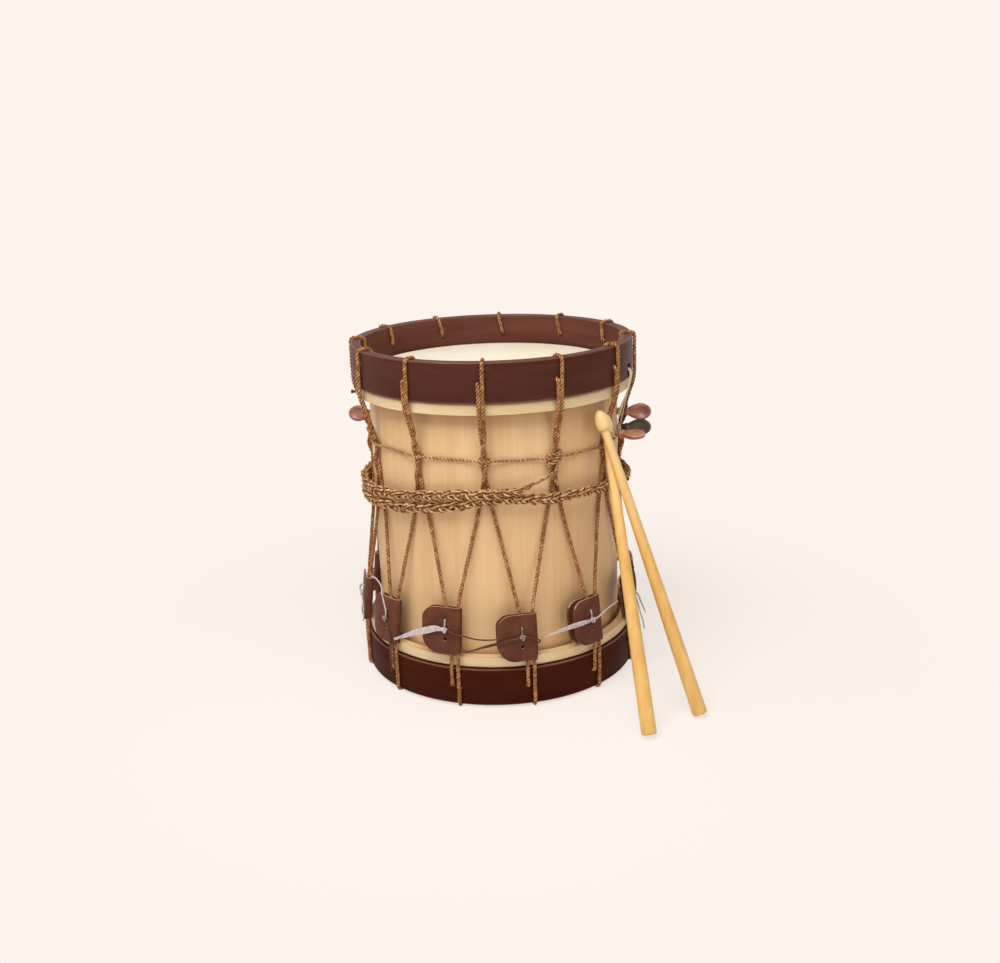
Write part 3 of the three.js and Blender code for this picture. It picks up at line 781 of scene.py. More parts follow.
def sharpened(material, value):
    """The middle of a noise, drawn out to its full range."""
    return spread(material, value, 0, 1, *NOISE_MIDDLE)


def tint(material, base, over, share):
    sockets = {MIX_SHARE: share, MIX_BASE: base, MIX_OVER: over}
    return add_node(material, "ShaderNodeMix", sockets, data_type="RGBA").outputs[MIX_RESULT]


def relief(material, height, strength, distance):
    made = add_node(material, "ShaderNodeBump",
                    {"Height": height, "Strength": strength, "Distance": distance})
    return made.outputs["Normal"]


def wire(material, shader, **inputs):
    for key, value in inputs.items():
        material.node_tree.links.new(value, shader.inputs[key.replace("_", " ")])
    return material


def off_axis(material, x, y):
    """Distance from the drum's axis."""
    return number(material, "SQRT", weighed(material, (x, x), (y, y)))


def round_place(material):
    """Length along the hoop, depth and height, for grain that follows a bent board."""
    x, y, z = parts_of(material, object_place(material))
    angle = number(material, "ARCTAN2", x, y)
    around = number(material, "MULTIPLY", angle, HOOP_RADIUS)
    sides = {"X": around, "Y": off_axis(material, x, y), "Z": z}
    return add_node(material, "ShaderNodeCombineXYZ", sides).outputs["Vector"]


def varnished_shell():
    material, shader = new_finish("varnished_shell_wood", Specular_IOR_Level=0.25, Coat_Weight=0.06,
                                  Coat_Roughness=0.3)
    where = object_place(material)
    boards = grain(material, where, (34, 34, 1.6), 3)
    fibres = grain(material, where, (420, 420, 9), 5, 0.65)
    colour = ramp(material, boards, (0.3, paint(219, 177, 124)), (0.52, paint(228, 189, 138)),
                  (0.72, paint(234, 198, 150)))
    streaks = ramp(material, fibres, (0.32, paint(208, 166, 114)), (0.6, paint(240, 206, 160)))
    colour = tint(material, colour, streaks, 0.18)
    # Painted shade: the shell is darkened towards the lap, where the lap and the hoop overhang it
    height = parts_of(material, where)[2]
    shade_under_lap = spread(material, height, 0, 0.5, LAP_LOW - LAP_PAINTED_SHADE, LAP_LOW)
    colour = tint(material, colour, paint(172, 122, 74), shade_under_lap)
    return wire(material, shader, Base_Color=colour, Roughness=spread(material, fibres, 0.36, 0.55),
                Normal=relief(material, fibres, 0.12, 0.0004))


def stained_hoop(name, dark, middle, light, gloss=0.08):
    """Bent board, stained and waxed: its grain runs round the hoop."""
    material, shader = new_finish(name, Specular_IOR_Level=gloss)
    where = round_place(material)
    figure = grain(material, where, (5, 60, 60))
    pores = grain(material, where, (24, 600, 600), 5, 0.7)
    colour = ramp(material, figure, (0.3, dark), (0.5, middle), (0.72, light))
    colour = tint(material, colour, dark, spread(material, pores, 0.0, 0.3))
    return wire(material, shader, Base_Color=colour, Roughness=spread(material, pores, 0.36, 0.52),
                Normal=relief(material, pores, 0.12, 0.0004))


def calf_skin():
    """Pale on the head, darker and streaked where it laps over the flesh hoop."""
    material, shader = new_finish("calf_skin", Roughness=0.5)
    where = object_place(material)
    clouds = cloud(material, where, 14, 5)
    specks = cloud(material, where, 260, 3)
    height = parts_of(material, where)[2]
    away = number(material, "ABSOLUTE", number(material, "SUBTRACT", height, MIDDLE_Z))
    head = spread(material, away, 0, 1, *(HEAD_Z - MIDDLE_Z - depth for depth in HEAD_FADE))
    lap = number(material, "SUBTRACT", 1.0, head)
    lap_colour = ramp(material, clouds, (0.3, paint(224, 195, 147)), (0.7, paint(241, 220, 178)))
    head_colour = ramp(material, clouds, (0.3, paint(251, 237, 206)), (0.7, paint(255, 248, 228)))
    colour = tint(material, lap_colour, head_colour, head)
    colour = tint(material, colour, paint(204, 172, 126), number(material, "MULTIPLY", specks, 0.14))
    streaks = grain(material, round_place(material), (22, 120, 330), 4, 0.6)
    stained = number(material, "MULTIPLY", lap, spread(material, streaks, -0.12, 0.5))
    colour = tint(material, colour, paint(206, 168, 116), stained)
    return wire(material, shader, Base_Color=colour, Normal=relief(material, specks, 0.1, 0.0003))


def hemp(name, dark, middle, light):
    """Laid hemp: painted shade in the grooves between its strands and painted light on their backs, mottled
    with light and dark fibre.
    """
    material, shader = new_finish(name, Roughness=0.85, Specular_IOR_Level=0.1)
    along = along_cord(material)
    yarn = sharpened(material, grain(material, along, (360, 5, 1), 3, 0.7))
    fibre = grain(material, along, (1700, 14, 1), 5, 0.75)
    patches = sharpened(material, cloud(material, object_place(material), 210, 3))
    # Painted shade and light: strands darkened in their grooves and lightened on their backs
    crest_shade = add_node(material, "ShaderNodeAttribute", attribute_name="crest_shade").outputs["Fac"]
    flecks_and_groove_shade = weighed(material, (yarn, 0.26), (patches, 0.3), (crest_shade, 0.46))
    colour = ramp(material, flecks_and_groove_shade, (0.25, dark), (0.54, middle), (0.82, light))
    colour = tint(material, colour, ramp(material, fibre, (0.35, dark), (0.62, light)), 0.22)
    return wire(material, shader, Base_Color=colour, Normal=relief(material, fibre, 0.5, 0.0006))


def tug_leather():
    material, shader = new_finish("tug_leather", Specular_IOR_Level=0.12)
    where = object_place(material)
    hide = cloud(material, where, 45, 4)
    pores = cloud(material, where, 900, 3, 0.6)
    colour = ramp(material, hide, (0.3, paint(84, 46, 31)), (0.55, paint(99, 58, 41)),
                  (0.75, paint(113, 70, 52)))
    return wire(material, shader, Base_Color=colour, Roughness=spread(material, hide, 0.42, 0.62),
                Normal=relief(material, pores, 0.25, 0.0004))


def cut_leather():
    material, shader = new_finish("cut_leather_edge", Roughness=0.75)
    fibres = cloud(material, object_place(material), 500, 3)
    colour = ramp(material, fibres, (0.3, paint(156, 108, 86)), (0.7, paint(190, 142, 118)))
    return wire(material, shader, Base_Color=colour, Normal=relief(material, fibres, 0.3, 0.0004))


def lace_leather(name, dark, light):
    material, shader = new_finish(name, Roughness=0.62, Specular_IOR_Level=0.2)
    nap = cloud(material, object_place(material), 330, 4, 0.65)
    return wire(material, shader, Base_Color=ramp(material, nap, (0.32, dark), (0.66, light)),
                Normal=relief(material, nap, 0.3, 0.0003))


def gut_string():
    material, shader = new_finish("gut_string", Roughness=0.35, Coat_Weight=0.2)
    twist = grain(material, along_cord(material), (900, 3, 1), 3)
    colour = ramp(material, twist, (0.3, paint(222, 200, 160)), (0.7, paint(244, 230, 200)))
    return wire(material, shader, Base_Color=colour, Normal=relief(material, twist, 0.2, 0.0002))


def rosewood(name, dark, light):
    material, shader = new_finish(name, Coat_Weight=0.3, Coat_Roughness=0.2)
    figure = grain(material, object_place(material), (45, 45, 260), 5, 0.6)
    return wire(material, shader, Base_Color=ramp(material, figure, (0.34, dark), (0.64, light)),
                Roughness=spread(material, figure, 0.28, 0.42), Normal=relief(material, figure, 0.1, 0.0003))


def honey_wood():
    material, shader = new_finish("honey_stick_wood", Coat_Weight=0.25, Coat_Roughness=0.25)
    where = object_place(material)
    figure = grain(material, where, (90, 90, 7))
    fibres = grain(material, where, (800, 800, 40), 5, 0.7)
    colour = ramp(material, figure, (0.3, paint(217, 165, 82)), (0.52, paint(227, 179, 98)),
                  (0.72, paint(236, 193, 116)))
    pale = spread(material, parts_of(material, where)[2], 0, 0.6, *STICK_PALE_Z)
    colour = tint(material, colour, paint(247, 214, 156), pale)
    colour = tint(material, colour, paint(180, 124, 54), number(material, "MULTIPLY", fibres, 0.14))
    return wire(material, shader, Base_Color=colour, Roughness=spread(material, fibres, 0.3, 0.48),
                Normal=relief(material, fibres, 0.08, 0.0003))


def dark_iron():
    material, shader = new_finish("dark_iron", Metallic=0.8)
    rust = cloud(material, object_place(material), 300)
    colour = ramp(material, rust, (0.35, paint(48, 42, 40)), (0.7, paint(92, 66, 52)))
    return wire(material, shader, Base_Color=colour, Roughness=spread(material, rust, 0.4, 0.7))


SHELL_FINISH = varnished_shell()
UPPER_HOOP_FINISH = stained_hoop(
    "upper_hoop_stain", paint(69, 34, 24), paint(78, 41, 30), paint(87, 48, 37))
LOWER_HOOP_FINISH = stained_hoop(
    "lower_hoop_stain", paint(57, 21, 10), paint(66, 27, 13), paint(74, 33, 18), gloss=0.02)
# Painted light: a lighter copy of the stain for the hoops' inner faces, which get less light
INNER_HOOP_LIGHTENED_FINISH = stained_hoop(
    "inner_hoop_stain_painted_light", paint(90, 50, 40), paint(103, 60, 48), paint(114, 69, 57))
# Painted highlight: a lighter copy of the stain for the hoops' rounded edges
HOOP_EDGE_HIGHLIGHT_FINISH = stained_hoop(
    "hoop_edge_painted_highlight", paint(92, 54, 43), paint(118, 76, 62), paint(140, 98, 84))
SKIN_FINISH = calf_skin()
ROPE_FINISH = hemp("tension_hemp", paint(42, 18, 9), paint(128, 70, 36), paint(230, 174, 116))
BELT_FINISH = hemp("belt_hemp", paint(40, 17, 8), paint(140, 86, 47), paint(244, 198, 142))
GIRDLE_FINISH = hemp("girdle_hemp", paint(66, 34, 17), paint(164, 110, 64), paint(244, 202, 148))
TUG_FINISH = tug_leather()
TUG_EDGE_FINISH = cut_leather()
# Painted sheen: the brown lace leather painted pale grey where it catches the light
LACE_PAINTED_SHEEN = lace_leather("lace_with_painted_sheen", paint(168, 152, 150), paint(214, 202, 200))
BROWN_LACE = lace_leather("brown_lace", paint(70, 37, 27), paint(104, 62, 49))
# Painted sheen, fainter
LACE_FAINT_PAINTED_SHEEN = lace_leather("lace_with_faint_painted_sheen", paint(112, 86, 78), paint(168, 146, 138))
GUT_FINISH = gut_string()
PEG_FINISH = rosewood("peg_rosewood", paint(118, 66, 48), paint(170, 106, 80))
# Painted shade: a darker copy of the rosewood for the rims of the thumb pieces
PEG_RIM_SHADE_FINISH = rosewood("peg_rim_painted_shade", paint(72, 34, 26), paint(104, 56, 42))
# Painted shade: darker copies of the rosewood for the peg that sits in shade
PEG_PAINTED_SHADE_FINISH = rosewood("peg_rosewood_painted_shade", paint(58, 36, 31), paint(88, 58, 50))
PEG_RIM_DEEPER_SHADE_FINISH = rosewood("peg_rim_deeper_painted_shade", paint(36, 21, 18), paint(52, 33, 28))
TAN_PEG_FINISH = rosewood("tan_peg_wood", paint(150, 98, 62), paint(196, 142, 98))
STICK_FINISH = honey_wood()
IRON_FINISH = dark_iron()


# Camera

def set_camera():
    yaw, pitch, roll = (math.radians(a) for a in (CAMERA_YAW, CAMERA_PITCH, CAMERA_ROLL))
    ahead = Vector((math.sin(yaw) * math.cos(pitch), math.cos(yaw) * math.cos(pitch), -math.sin(pitch)))
    level = Vector((math.cos(yaw), -math.sin(yaw), 0))
    lift = level.cross(ahead)
    across = level * math.cos(roll) + lift * math.sin(roll)
    above = lift * math.cos(roll) - level * math.sin(roll)
    lens = bpy.data.cameras.new("photo_camera")
    lens.sensor_fit = "HORIZONTAL"
    lens.sensor_width = SENSOR_MM
    lens.lens = FOCAL_PIXELS * SENSOR_MM / PICTURE_WIDTH
    lens.clip_start = 0.01
    camera = bpy.data.objects.new("photo_camera", lens)
    bpy.context.collection.objects.link(camera)
    turn = Matrix((across, above, -ahead)).transposed().to_4x4()
    camera.matrix_world = Matrix.Translation(CAMERA_AT) @ turn
    bpy.context.scene.camera = camera


set_camera()


# Tension rope

ROPE_RUN = Vector((ROPE_WAIST - ROPE_OUT, HEEL_Z - ANKLE_Z)).normalized()


def tug_frame(k):
    """Local X to the right, Y up along the strands, Z out of the drum."""
    azimuth = FOOT_AZIMUTH + k * COURSE_STEP
    height = TUG_Z + TUG_LIFTS_MM[k] / 1000
    radius = ROPE_OUT + (height - ANKLE_Z) * ROPE_RUN.x / ROPE_RUN.y
    side = rightward(azimuth)
    run = outward(azimuth) * ROPE_RUN.x + UP * ROPE_RUN.y
    turn = Matrix((side, run, side.cross(run))).transposed().to_4x4()
    return Matrix.Translation(place(azimuth, radius, 0, height)) @ turn


def tug_body(k):
    return numbered("tug", k) + "_slider"


def heel_point(split, entry):
    share = (SPLIT_Z - HEEL_Z) / (SPLIT_Z - entry.z)
    heel = split.lerp(entry, share)
    flat = Vector((heel.x, heel.y, 0)).normalized() * ROPE_WAIST
    return flat + UP * HEEL_Z


def twined(points, azimuth, side):
    """One strand of a pair, turned once round the other between the hoop and the belt."""
    route = []
    for point in spaced(points, ROPE_STEP):
        share = min(1, max(0, (TWINE_Z - point.z) / (TWINE_Z - SPLIT_Z)))
        turn = 2 * math.pi * share
        swing = rightward(azimuth) * side * PAIR_HALF * (math.cos(turn) - 1)
        lift = outward(azimuth) * 2 * PAIR_HALF * max(0, side * math.sin(turn)) ** TWINE_EASE
        route.append(point + swing + lift)
    return route


def upper_routes(k):
    """The strand that comes down to a tug, and the one that goes up from it to the next pair."""
    head = HEAD_AZIMUTH + k * COURSE_STEP
    after = head + COURSE_STEP
    tug = tug_frame(k)
    reach = TUG_HEIGHT / 2
    entry = tug @ Vector((STRAND_MOUTH[0], reach + STRAND_MOUTH[1], 0))
    leave = tug @ Vector((FOOT_HALF, reach + STRAND_MOUTH[1], 0))
    split = place(head, ROPE_WAIST, PAIR_HALF, SPLIT_Z)
    join = place(after, ROPE_WAIST, -PAIR_HALF, SPLIT_Z)
    over_rim = [
        place(head, HOOP_MIDDLE, -RIM_HALF, HOLE_HIGH),
        place(head, ROPE_IN, -RIM_HALF, HOLE_HIGH),
        place(head, ROPE_IN, RIM_HALF, CREST_Z),
        place(head, ROPE_OUT, RIM_HALF, CREST_Z),
        place(head, ROPE_OUT, PAIR_HALF, HOOP_FACE_Z),
    ]
    down = [
        place(head, ROPE_OUT, PAIR_HALF, SHOULDER_Z),
        place(head, ROPE_WAIST, PAIR_HALF, TUCK_Z),
        split,
        heel_point(split, entry),
        entry,
        tug @ Vector((STRAND_MEET[0], reach - STRAND_MEET[1], 0)),
        tug @ Vector((-FOOT_HALF, 0, 0)),
    ]
    up = [
        tug @ Vector((FOOT_HALF, 0, 0)),
        leave,
        heel_point(join, leave),
        join,
        place(after, ROPE_WAIST, -PAIR_HALF, TUCK_Z),
        place(after, ROPE_OUT, -PAIR_HALF, SHOULDER_Z),
        place(after, ROPE_OUT, -PAIR_HALF, HOOP_FACE_Z),
    ]
    into_hole = [
        place(after, ROPE_OUT, -RIM_HALF, HOLE_HIGH),
        place(after, HOOP_MIDDLE, -RIM_HALF, HOLE_HIGH),
    ]
    left = eased(over_rim, ROPE_BEND)[:-1] + eased(over_rim[-1:] + down, STRAND_BEND)
    right = eased(up, STRAND_BEND)[:-1] + eased(up[-1:] + into_hole, ROPE_BEND)
    return twined(left, head, 1), twined(right, after, -1)


def lower_route(k):
    """Out of the tug, through the hoop's hole, under its rim and back up into the tug."""
    foot = FOOT_AZIMUTH + k * COURSE_STEP
    tug = tug_frame(k)
    reach = TUG_HEIGHT / 2
    return eased([
        tug @ Vector((-FOOT_HALF, 0, 0)),
        tug @ Vector((-FOOT_HALF, -reach, 0)),
        place(foot, ROPE_OUT, -FOOT_HALF, HOOP_CLEAR_Z),
        place(foot, ROPE_OUT, -FOOT_HALF, HOLE_LOW),
        place(foot, ROPE_IN, -FOOT_HALF, HOLE_LOW),
        place(foot, ROPE_IN, FOOT_HALF, SOLE_Z),
        place(foot, ROPE_OUT, FOOT_HALF, SOLE_Z),
        place(foot, ROPE_OUT, FOOT_HALF, HOOP_CLEAR_Z),
        tug @ Vector((FOOT_HALF, -reach, 0)),
        tug @ Vector((FOOT_HALF, 0, 0)),
    ], ROPE_BEND)


def lay_rope(name, routes, hairs, chance):
    """A length of rope with its loose fibres, flat where the drum stands on it."""
    routes = [spaced(route, ROPE_STEP) for route in routes]
    piece = laid_cord(name, routes, ROPE_STRANDS, ROPE, ROPE_LAY)
    for route in routes:
        piece = frayed(piece, route, ROPE / 2, hairs, chance)
    for vertex in piece.data.vertices:
        vertex.co.z = max(vertex.co.z, SOLE_FLAT)
    piece.data.materials.append(ROPE_FINISH)
    return piece


rope_chance = random.Random(ROPE_SEED)
for k in range(COURSES):
    upper = lay_rope(numbered("upper_rope", k), upper_routes(k), UPPER_ROPE_HAIRS, rope_chance)
    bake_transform(upper)
    lower = lay_rope(numbered("lower_rope", k), [lower_route(k)], LOWER_ROPE_HAIRS, rope_chance)
    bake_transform(lower)
    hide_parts(numbered("tension_rope", k))


# Laces: a loop through both flaps, a knot in front and two free tails

TAIL_POINTS = 24
THONG = 0.0019
STRAP = 0.0011
STRAP_CUP = 0.24
LEAF_NECK = 0.34
LEAF_LEAN = 0.6
LEAF_FULLNESS = 0.8

# Tails in mm from the lace's middle: to the right, up along the tug and out of its face. Tugs are
# counted from 0, and one without tails of its own has the spread leaf and the slack thong
SPREAD_LEAF = ((-12.5, 0, 2.5), (-25, -1, 3.5), (-42, -4, 2.5), (-57, -8, -0.5), (-69, -10, -4))
SLACK_THONG = ((-8, 0, 2.5), (4, -1, 3), (18, -3, 1.5), (32, -5, -3.5), (44, -6, -8.5))
LEAVES = {
    0: ((-12, 0.5, 3), (-30, -2, 3.5), (-45, -4.5, 2.5), (-62.5, -8.5, -2), (-80, -13, -6.5)),
    1: ((-13, 0, 3), (-25.5, 1, 3.5), (-49, 1.5, 1), (-65.5, 0, -4), (-81, -3, -10.5)),
    2: ((-11.5, 1, 3), (-11.5, 5, 7), (-12.5, 1.5, 11), (-12, -10, 14), (-9.5, -25, 17)),
    3: ((-12, -1, 3), (-13, -8, 4), (-12, -22, 4.5), (-9, -40, 3), (-7, -58, 1.5)),
    10: ((-10.5, -1, 3), (-4, -7, 4), (1.5, -21.5, 4), (5, -44, 3), (7, -66, 1)),
    11: ((-12, 0.5, 3), (-22, 1, 3.5), (-32, -2, 3), (-45.5, -6.5, 2), (-63.5, -14, -2),
         (-80, -21.5, -6.5)),
}
THONGS = {
    0: ((-8, 0.5, 3), (-2, -0.5, 3), (5, -3, 3), (11, -6.5, -1), (11.5, -10.5, -6), (7, -14, -12)),
    1: ((-8, 0, 3), (-3, 0.5, 3), (19, 5, 0), (42, 8, -3.5)),
    2: ((-9, -0.5, 3), (-13, 2, 6.5), (-14.5, -9, 9.5), (-18, -20, 12), (-18, -31, 14), (-17.5, -44, 15)),
    3: ((-8, 0, 2.5), (2, -2, 3), (9, -8, 3), (13, -20, 1.5), (13, -36, 0.5)),
    9: ((-8, 0, 2.5), (2, -3, 3), (9, -9, 2.5), (12, -18, 1.5), (12, -31, 1)),
    10: ((-9, 1.5, 3), (-8, 10, 3.5), (-18, 28.5, 2.5), (-23, 38.5, 1), (-35.5, 45, 0), (-46, 45, 0)),
    11: ((-7, -0.5, 3), (4, -4, 3), (16, -5, 4), (31.5, -6.5, 6), (46.5, -6, 5.5), (60, -4, 4)),
}
LEAF_WIDTHS = {0: 0.0040, 1: 0.0060, 2: 0.0050, 10: 0.0042, 11: 0.0084}
LEAF_WIDTH = 0.0056
BROWN_LEAVES = (0, 3, 6, 8, 10)
BROWN_THONGS = (0, 3, 6, 8, 11)
BROWN_KNOTS = (3, 6, 8)
FAINT_SHEEN_KNOTS = (0, 10)


def lace_point(tug, shift, along, out):
    return tug @ Vector((shift, LACE_MID + along, TUG_FRONT + out))


def leaf_swell(share):
    """A strap cut narrow at its knot and at its tip, and broadest at a third of its length."""
    return max(LEAF_NECK, math.sin(math.pi * share ** LEAF_LEAN) ** LEAF_FULLNESS)


def strap(name, route, face, width):
    """A flat leaf of leather along a route, a little cupped, with its broad side to a direction."""
    last = len(route) - 1
    deselect_all()
    bpy.ops.mesh.primitive_grid_add(x_subdivisions=2, y_subdivisions=last, size=1)
    piece = bpy.context.object
    piece.name = name
    for vertex in piece.data.vertices:
        row = round((vertex.co.y + 0.5) * last)
        side = 2 * vertex.co.x
        along = route[min(row + 1, last)] - route[max(row - 1, 0)]
        half = width / 2 * leaf_swell(row / last)
        across = along.cross(face).normalized() * side * half
        vertex.co = route[row] + across - face * side * side * half * STRAP_CUP
    thicken(piece, STRAP)
    return smooth(piece, 50)


def lace_loop(k, finish):
    """The lace through both flaps, and its overhand knot in front of them."""
    tug = tug_frame(k)
    front = TUG_FRONT + LACE_CLEAR + LACE / 2
    corners = [Vector((LACE_LINE, LACE_MID + y, z)) for y, z in (
        (0, front), (LACE_HALF, front), (LACE_HALF, -front), (0, -front), (0, front))]
    ring = [tug @ p for p in spaced(eased(corners, LACE_BEND), LACE_STEP)]
    loop = tube("lace_loop", [ring], LACE_LOOP)
    wide, high, deep = LACE_KNOT
    turns = []
    for a in full_turn(LACE_KNOT_STEPS):
        across = wide * (math.sin(a) + 2 * math.sin(2 * a))
        up = high * (math.cos(a) - 2 * math.cos(2 * a))
        turns.append(lace_point(tug, LACE_LINE + across, up, LACE_KNOT_OUT - deep * math.sin(3 * a)))
    knot = tube("lace_knot", [turns], LACE_KNOT_CORD)
    piece = joined(numbered("lace", k), [loop, knot])
    return finished(piece, finish, tug_body(k), numbered("tug_lace", k))


def tail_route(k, corners):
    tug = tug_frame(k)
    points = [lace_point(tug, x / 1000, y / 1000, out / 1000) for x, y, out in corners]
    return soft_route(points, TAIL_POINTS)


def lace_tails(k, leaf_finish, thong_finish):
    face = tug_frame(k).col[2].to_3d()
    broad = tail_route(k, LEAVES.get(k, SPREAD_LEAF))
    thin = tail_route(k, THONGS.get(k, SLACK_THONG))
    width = LEAF_WIDTHS.get(k, LEAF_WIDTH)
    body, node = tug_body(k), numbered("tug_lace", k)
    leaf = strap(numbered("broad_tail", k), broad, face, width)
    thong = tube(numbered("thin_tail", k), [thin], THONG)
    finished(leaf, leaf_finish, body, node)
    finished(thong, thong_finish, body, node)


# Brown laces show their own leather; the others are the same leather with a painted sheen, full or faint
for k in range(COURSES):
    knot_finish = BROWN_LACE if k in BROWN_KNOTS else LACE_FAINT_PAINTED_SHEEN if k in FAINT_SHEEN_KNOTS else LACE_PAINTED_SHEEN
    leaf_finish = BROWN_LACE if k in BROWN_LEAVES else LACE_PAINTED_SHEEN
    thong_finish = BROWN_LACE if k in BROWN_THONGS else LACE_PAINTED_SHEEN
    lace_loop(k, knot_finish)
    lace_tails(k, leaf_finish, thong_finish)


# Tugs: a strip of leather folded round both strands, with its fold to the right

def tug_section():
    """Middle line of the leather, seen along the strands: front flap, fold, back flap."""
    middle = POCKET_HALF + LEATHER / 2
    closed = FLAP_HALF_GAP + LEATHER / 2
    front = []
    for i in range(FLAP_STEPS + 1):
        share = i / FLAP_STEPS
        ease = share * share * (3 - 2 * share)
        front.append((TUG_LEFT + (POCKET_LEFT - TUG_LEFT) * share, closed + (middle - closed) * ease))
    front.append((POCKET_LEFT / 2, middle))
    front += arc(FOOT_HALF, 0, middle, 90, 0, FOLD_STEPS)
    back = [(x, -z) for x, z in reversed(front[:-1])]
    return front + back


def tug_blank():
    """The flat outline that the strip is cut to."""
    right = TUG_RIGHT + TUG_SPARE
    half = TUG_HEIGHT / 2
    deep = 4 * TUG_FRONT
    corners = [(right - FOLD_CUT[0], -half), (right, -half + FOLD_CUT[1]), (right, half)]
    for radius, y, start in ((TUG_UPPER_ROUND, half - TUG_UPPER_ROUND, 90),
                             (TUG_LOWER_ROUND, TUG_LOWER_ROUND - half, 180)):
        corners += arc(TUG_LEFT + radius, y, radius, start, start + 90, TUG_ROUND_STEPS)
    points = [(x, y, -deep) for x, y in corners]
    piece = start_point("tug_blank", points[0])
    draw_on(points + points[:1])
    bpy.ops.mesh.select_all(action="SELECT")
    bpy.ops.mesh.remove_doubles(threshold=SAME_POINT)
    bpy.ops.mesh.edge_face_add()
    extrude((0, 0, 2 * deep))
    close_up()
    return piece


def make_tug():
    long = 1.2 * TUG_HEIGHT
    section = [(x, -long / 2, z) for x, z in tug_section()]
    piece = start_point("tug", section[0])
    draw_on(section)
    bpy.ops.mesh.select_all(action="SELECT")
    extrude((0, long, 0))
    close_up()
    thicken(piece, LEATHER)
    cut(piece, tug_blank(), "INTERSECT")
    punches = []
    for offset, size in ((-LACE_HALF, LACE_HOLE), (0, LACE_SLIT), (LACE_HALF, LACE_HOLE)):
        punch = round_cutter(size, 8 * TUG_FRONT, PUNCH_SIDES)
        punch.data.transform(Matrix.Translation((LACE_LINE, LACE_MID + offset, 0)))
        punches.append(punch)
    cut(piece, joined("punches", punches))
    piece.data.materials.append(TUG_FINISH)
    piece.data.materials.append(TUG_EDGE_FINISH)
    soften(piece, TUG_EDGE, 2, 50, edge_material=1)
    for face in piece.data.polygons:
        if abs(face.normal.y) > CUT_FACE:
            face.material_index = 1
    return smooth(piece, 35)


tug_master = make_tug()
for k in range(COURSES):
    piece = copy_of(tug_master, numbered("leather_tug", k), Matrix())
    for vertex in piece.data.vertices:
        free = max(0, POCKET_LEFT - vertex.co.x) / FLAP_LENGTH
        vertex.co.z -= TUG_CURLS_MM[k] / 1000 * free * free
    piece.data.transform(tug_frame(k))
    finished(piece, None, tug_body(k), numbered("tug", k))
bpy.data.objects.remove(tug_master)


# Shell, heads and counterhoops

def make_shell():
    inner = SHELL_RADIUS - SHELL_WALL
    profile = [(inner, SHELL_LOW), (SHELL_RADIUS, SHELL_LOW), (SHELL_RADIUS, SHELL_HIGH), (inner, SHELL_HIGH),
               (inner, SHELL_LOW)]
    piece = soften(turned("drum_shell", profile), SHELL_ROUND)
    return finished(smooth(piece), SHELL_FINISH, "drum", "shell")


def skin_profile():
    """Over the shell's edge, down its side, over the flesh hoop and down the hoop's face."""
    shell = SHELL_RADIUS + SKIN_CLEAR
    collar = shell + COLLAR
    bend = SHELL_RADIUS + SKIN_EDGE - SKIN_EDGE_ROUND
    edge = arc(bend, HEAD_Z - SKIN_EDGE_ROUND, SKIN_EDGE_ROUND, 90, 0, ARC_STEPS)
    lip = arc(LAP_RADIUS - LAP_ROUND, LAP_TOP - LAP_ROUND, LAP_ROUND, 90, 0, ARC_STEPS)
    outside = [(0, HEAD_Z), (SHELL_RADIUS / 2, HEAD_Z), *edge, (collar + SKIN, LAP_TOP + COLLAR_RISE), *lip,
               (LAP_RADIUS, LAP_LOW)]
    inside = [(LAP_RADIUS - SKIN, LAP_LOW), (LAP_RADIUS - SKIN, LAP_TOP - SKIN), (collar, LAP_TOP - SKIN),
              (shell, HEAD_Z - SKIN), (0, HEAD_Z - SKIN)]
    return outside + inside


def make_heads():
    batter = turned("batter_skin", skin_profile())
    flip = Matrix.Translation((0, 0, 2 * MIDDLE_Z)) @ Matrix.Diagonal((1, 1, -1, 1))
    lower = copy_of(batter, "lower_skin", flip)
    lower.data.flip_normals()
    finished(smooth(batter, 50), SKIN_FINISH, "drum", "batter_head")
    finished(smooth(lower, 50), SKIN_FINISH, "drum", "lower_head")


def hoop_cutters(azimuth, half, hole_z, notch_z):
    """A hole for the rope at the left, and a notch in the rim at the right."""
    cutters = []
    for diameter, shift, height in ((ROPE_HOLE, -half, hole_z), (NOTCH_WIDTH, half, notch_z)):
        cutter = round_cutter(diameter, CUTTER_DEPTH, CUTTER_SIDES)
        cutter.data.transform(radial_frame(azimuth, HOOP_MIDDLE, shift, height))
        cutters.append(cutter)
    return cutters


def gate_cutter(azimuth, sill):
    deselect_all()
    bpy.ops.mesh.primitive_cube_add(size=1)
    piece = bpy.context.object
    piece.data.transform(Matrix.Diagonal((GATE_WIDTH, GATE_HEIGHT, CUTTER_DEPTH, 1)))
    soften(piece, GATE_ROUND, 4)
    piece.data.transform(radial_frame(azimuth, HOOP_MIDDLE, 0, sill + GATE_HEIGHT / 2))
    return piece


def make_counterhoop(name, node, low, cutters, finish):
    """A bent board with its rounded edges painted lighter as a highlight and its inner face painted lighter
    for the light it lacks, bored and notched for the rope.
    """
    inner, high = HOOP_RADIUS - HOOP_WALL, low + HOOP_HEIGHT
    profile = [(inner, low), (HOOP_RADIUS, low), (HOOP_RADIUS, high), (inner, high), (inner, low)]
    piece = turned(name, profile, HOOP_STEPS)
    # The rounded edges take the painted highlight and the inner faces the painted light
    for coat in (finish, HOOP_EDGE_HIGHLIGHT_FINISH, INNER_HOOP_LIGHTENED_FINISH):
        piece.data.materials.append(coat)
    for face in piece.data.polygons:
        if face.normal.xy.dot(face.center.xy) < 0:
            face.material_index = 2
    soften(piece, HOOP_ROUND, 4, edge_material=1)
    cut(piece, joined("cutters", cutters))
    return finished(smooth(piece, 30), None, "drum", node)


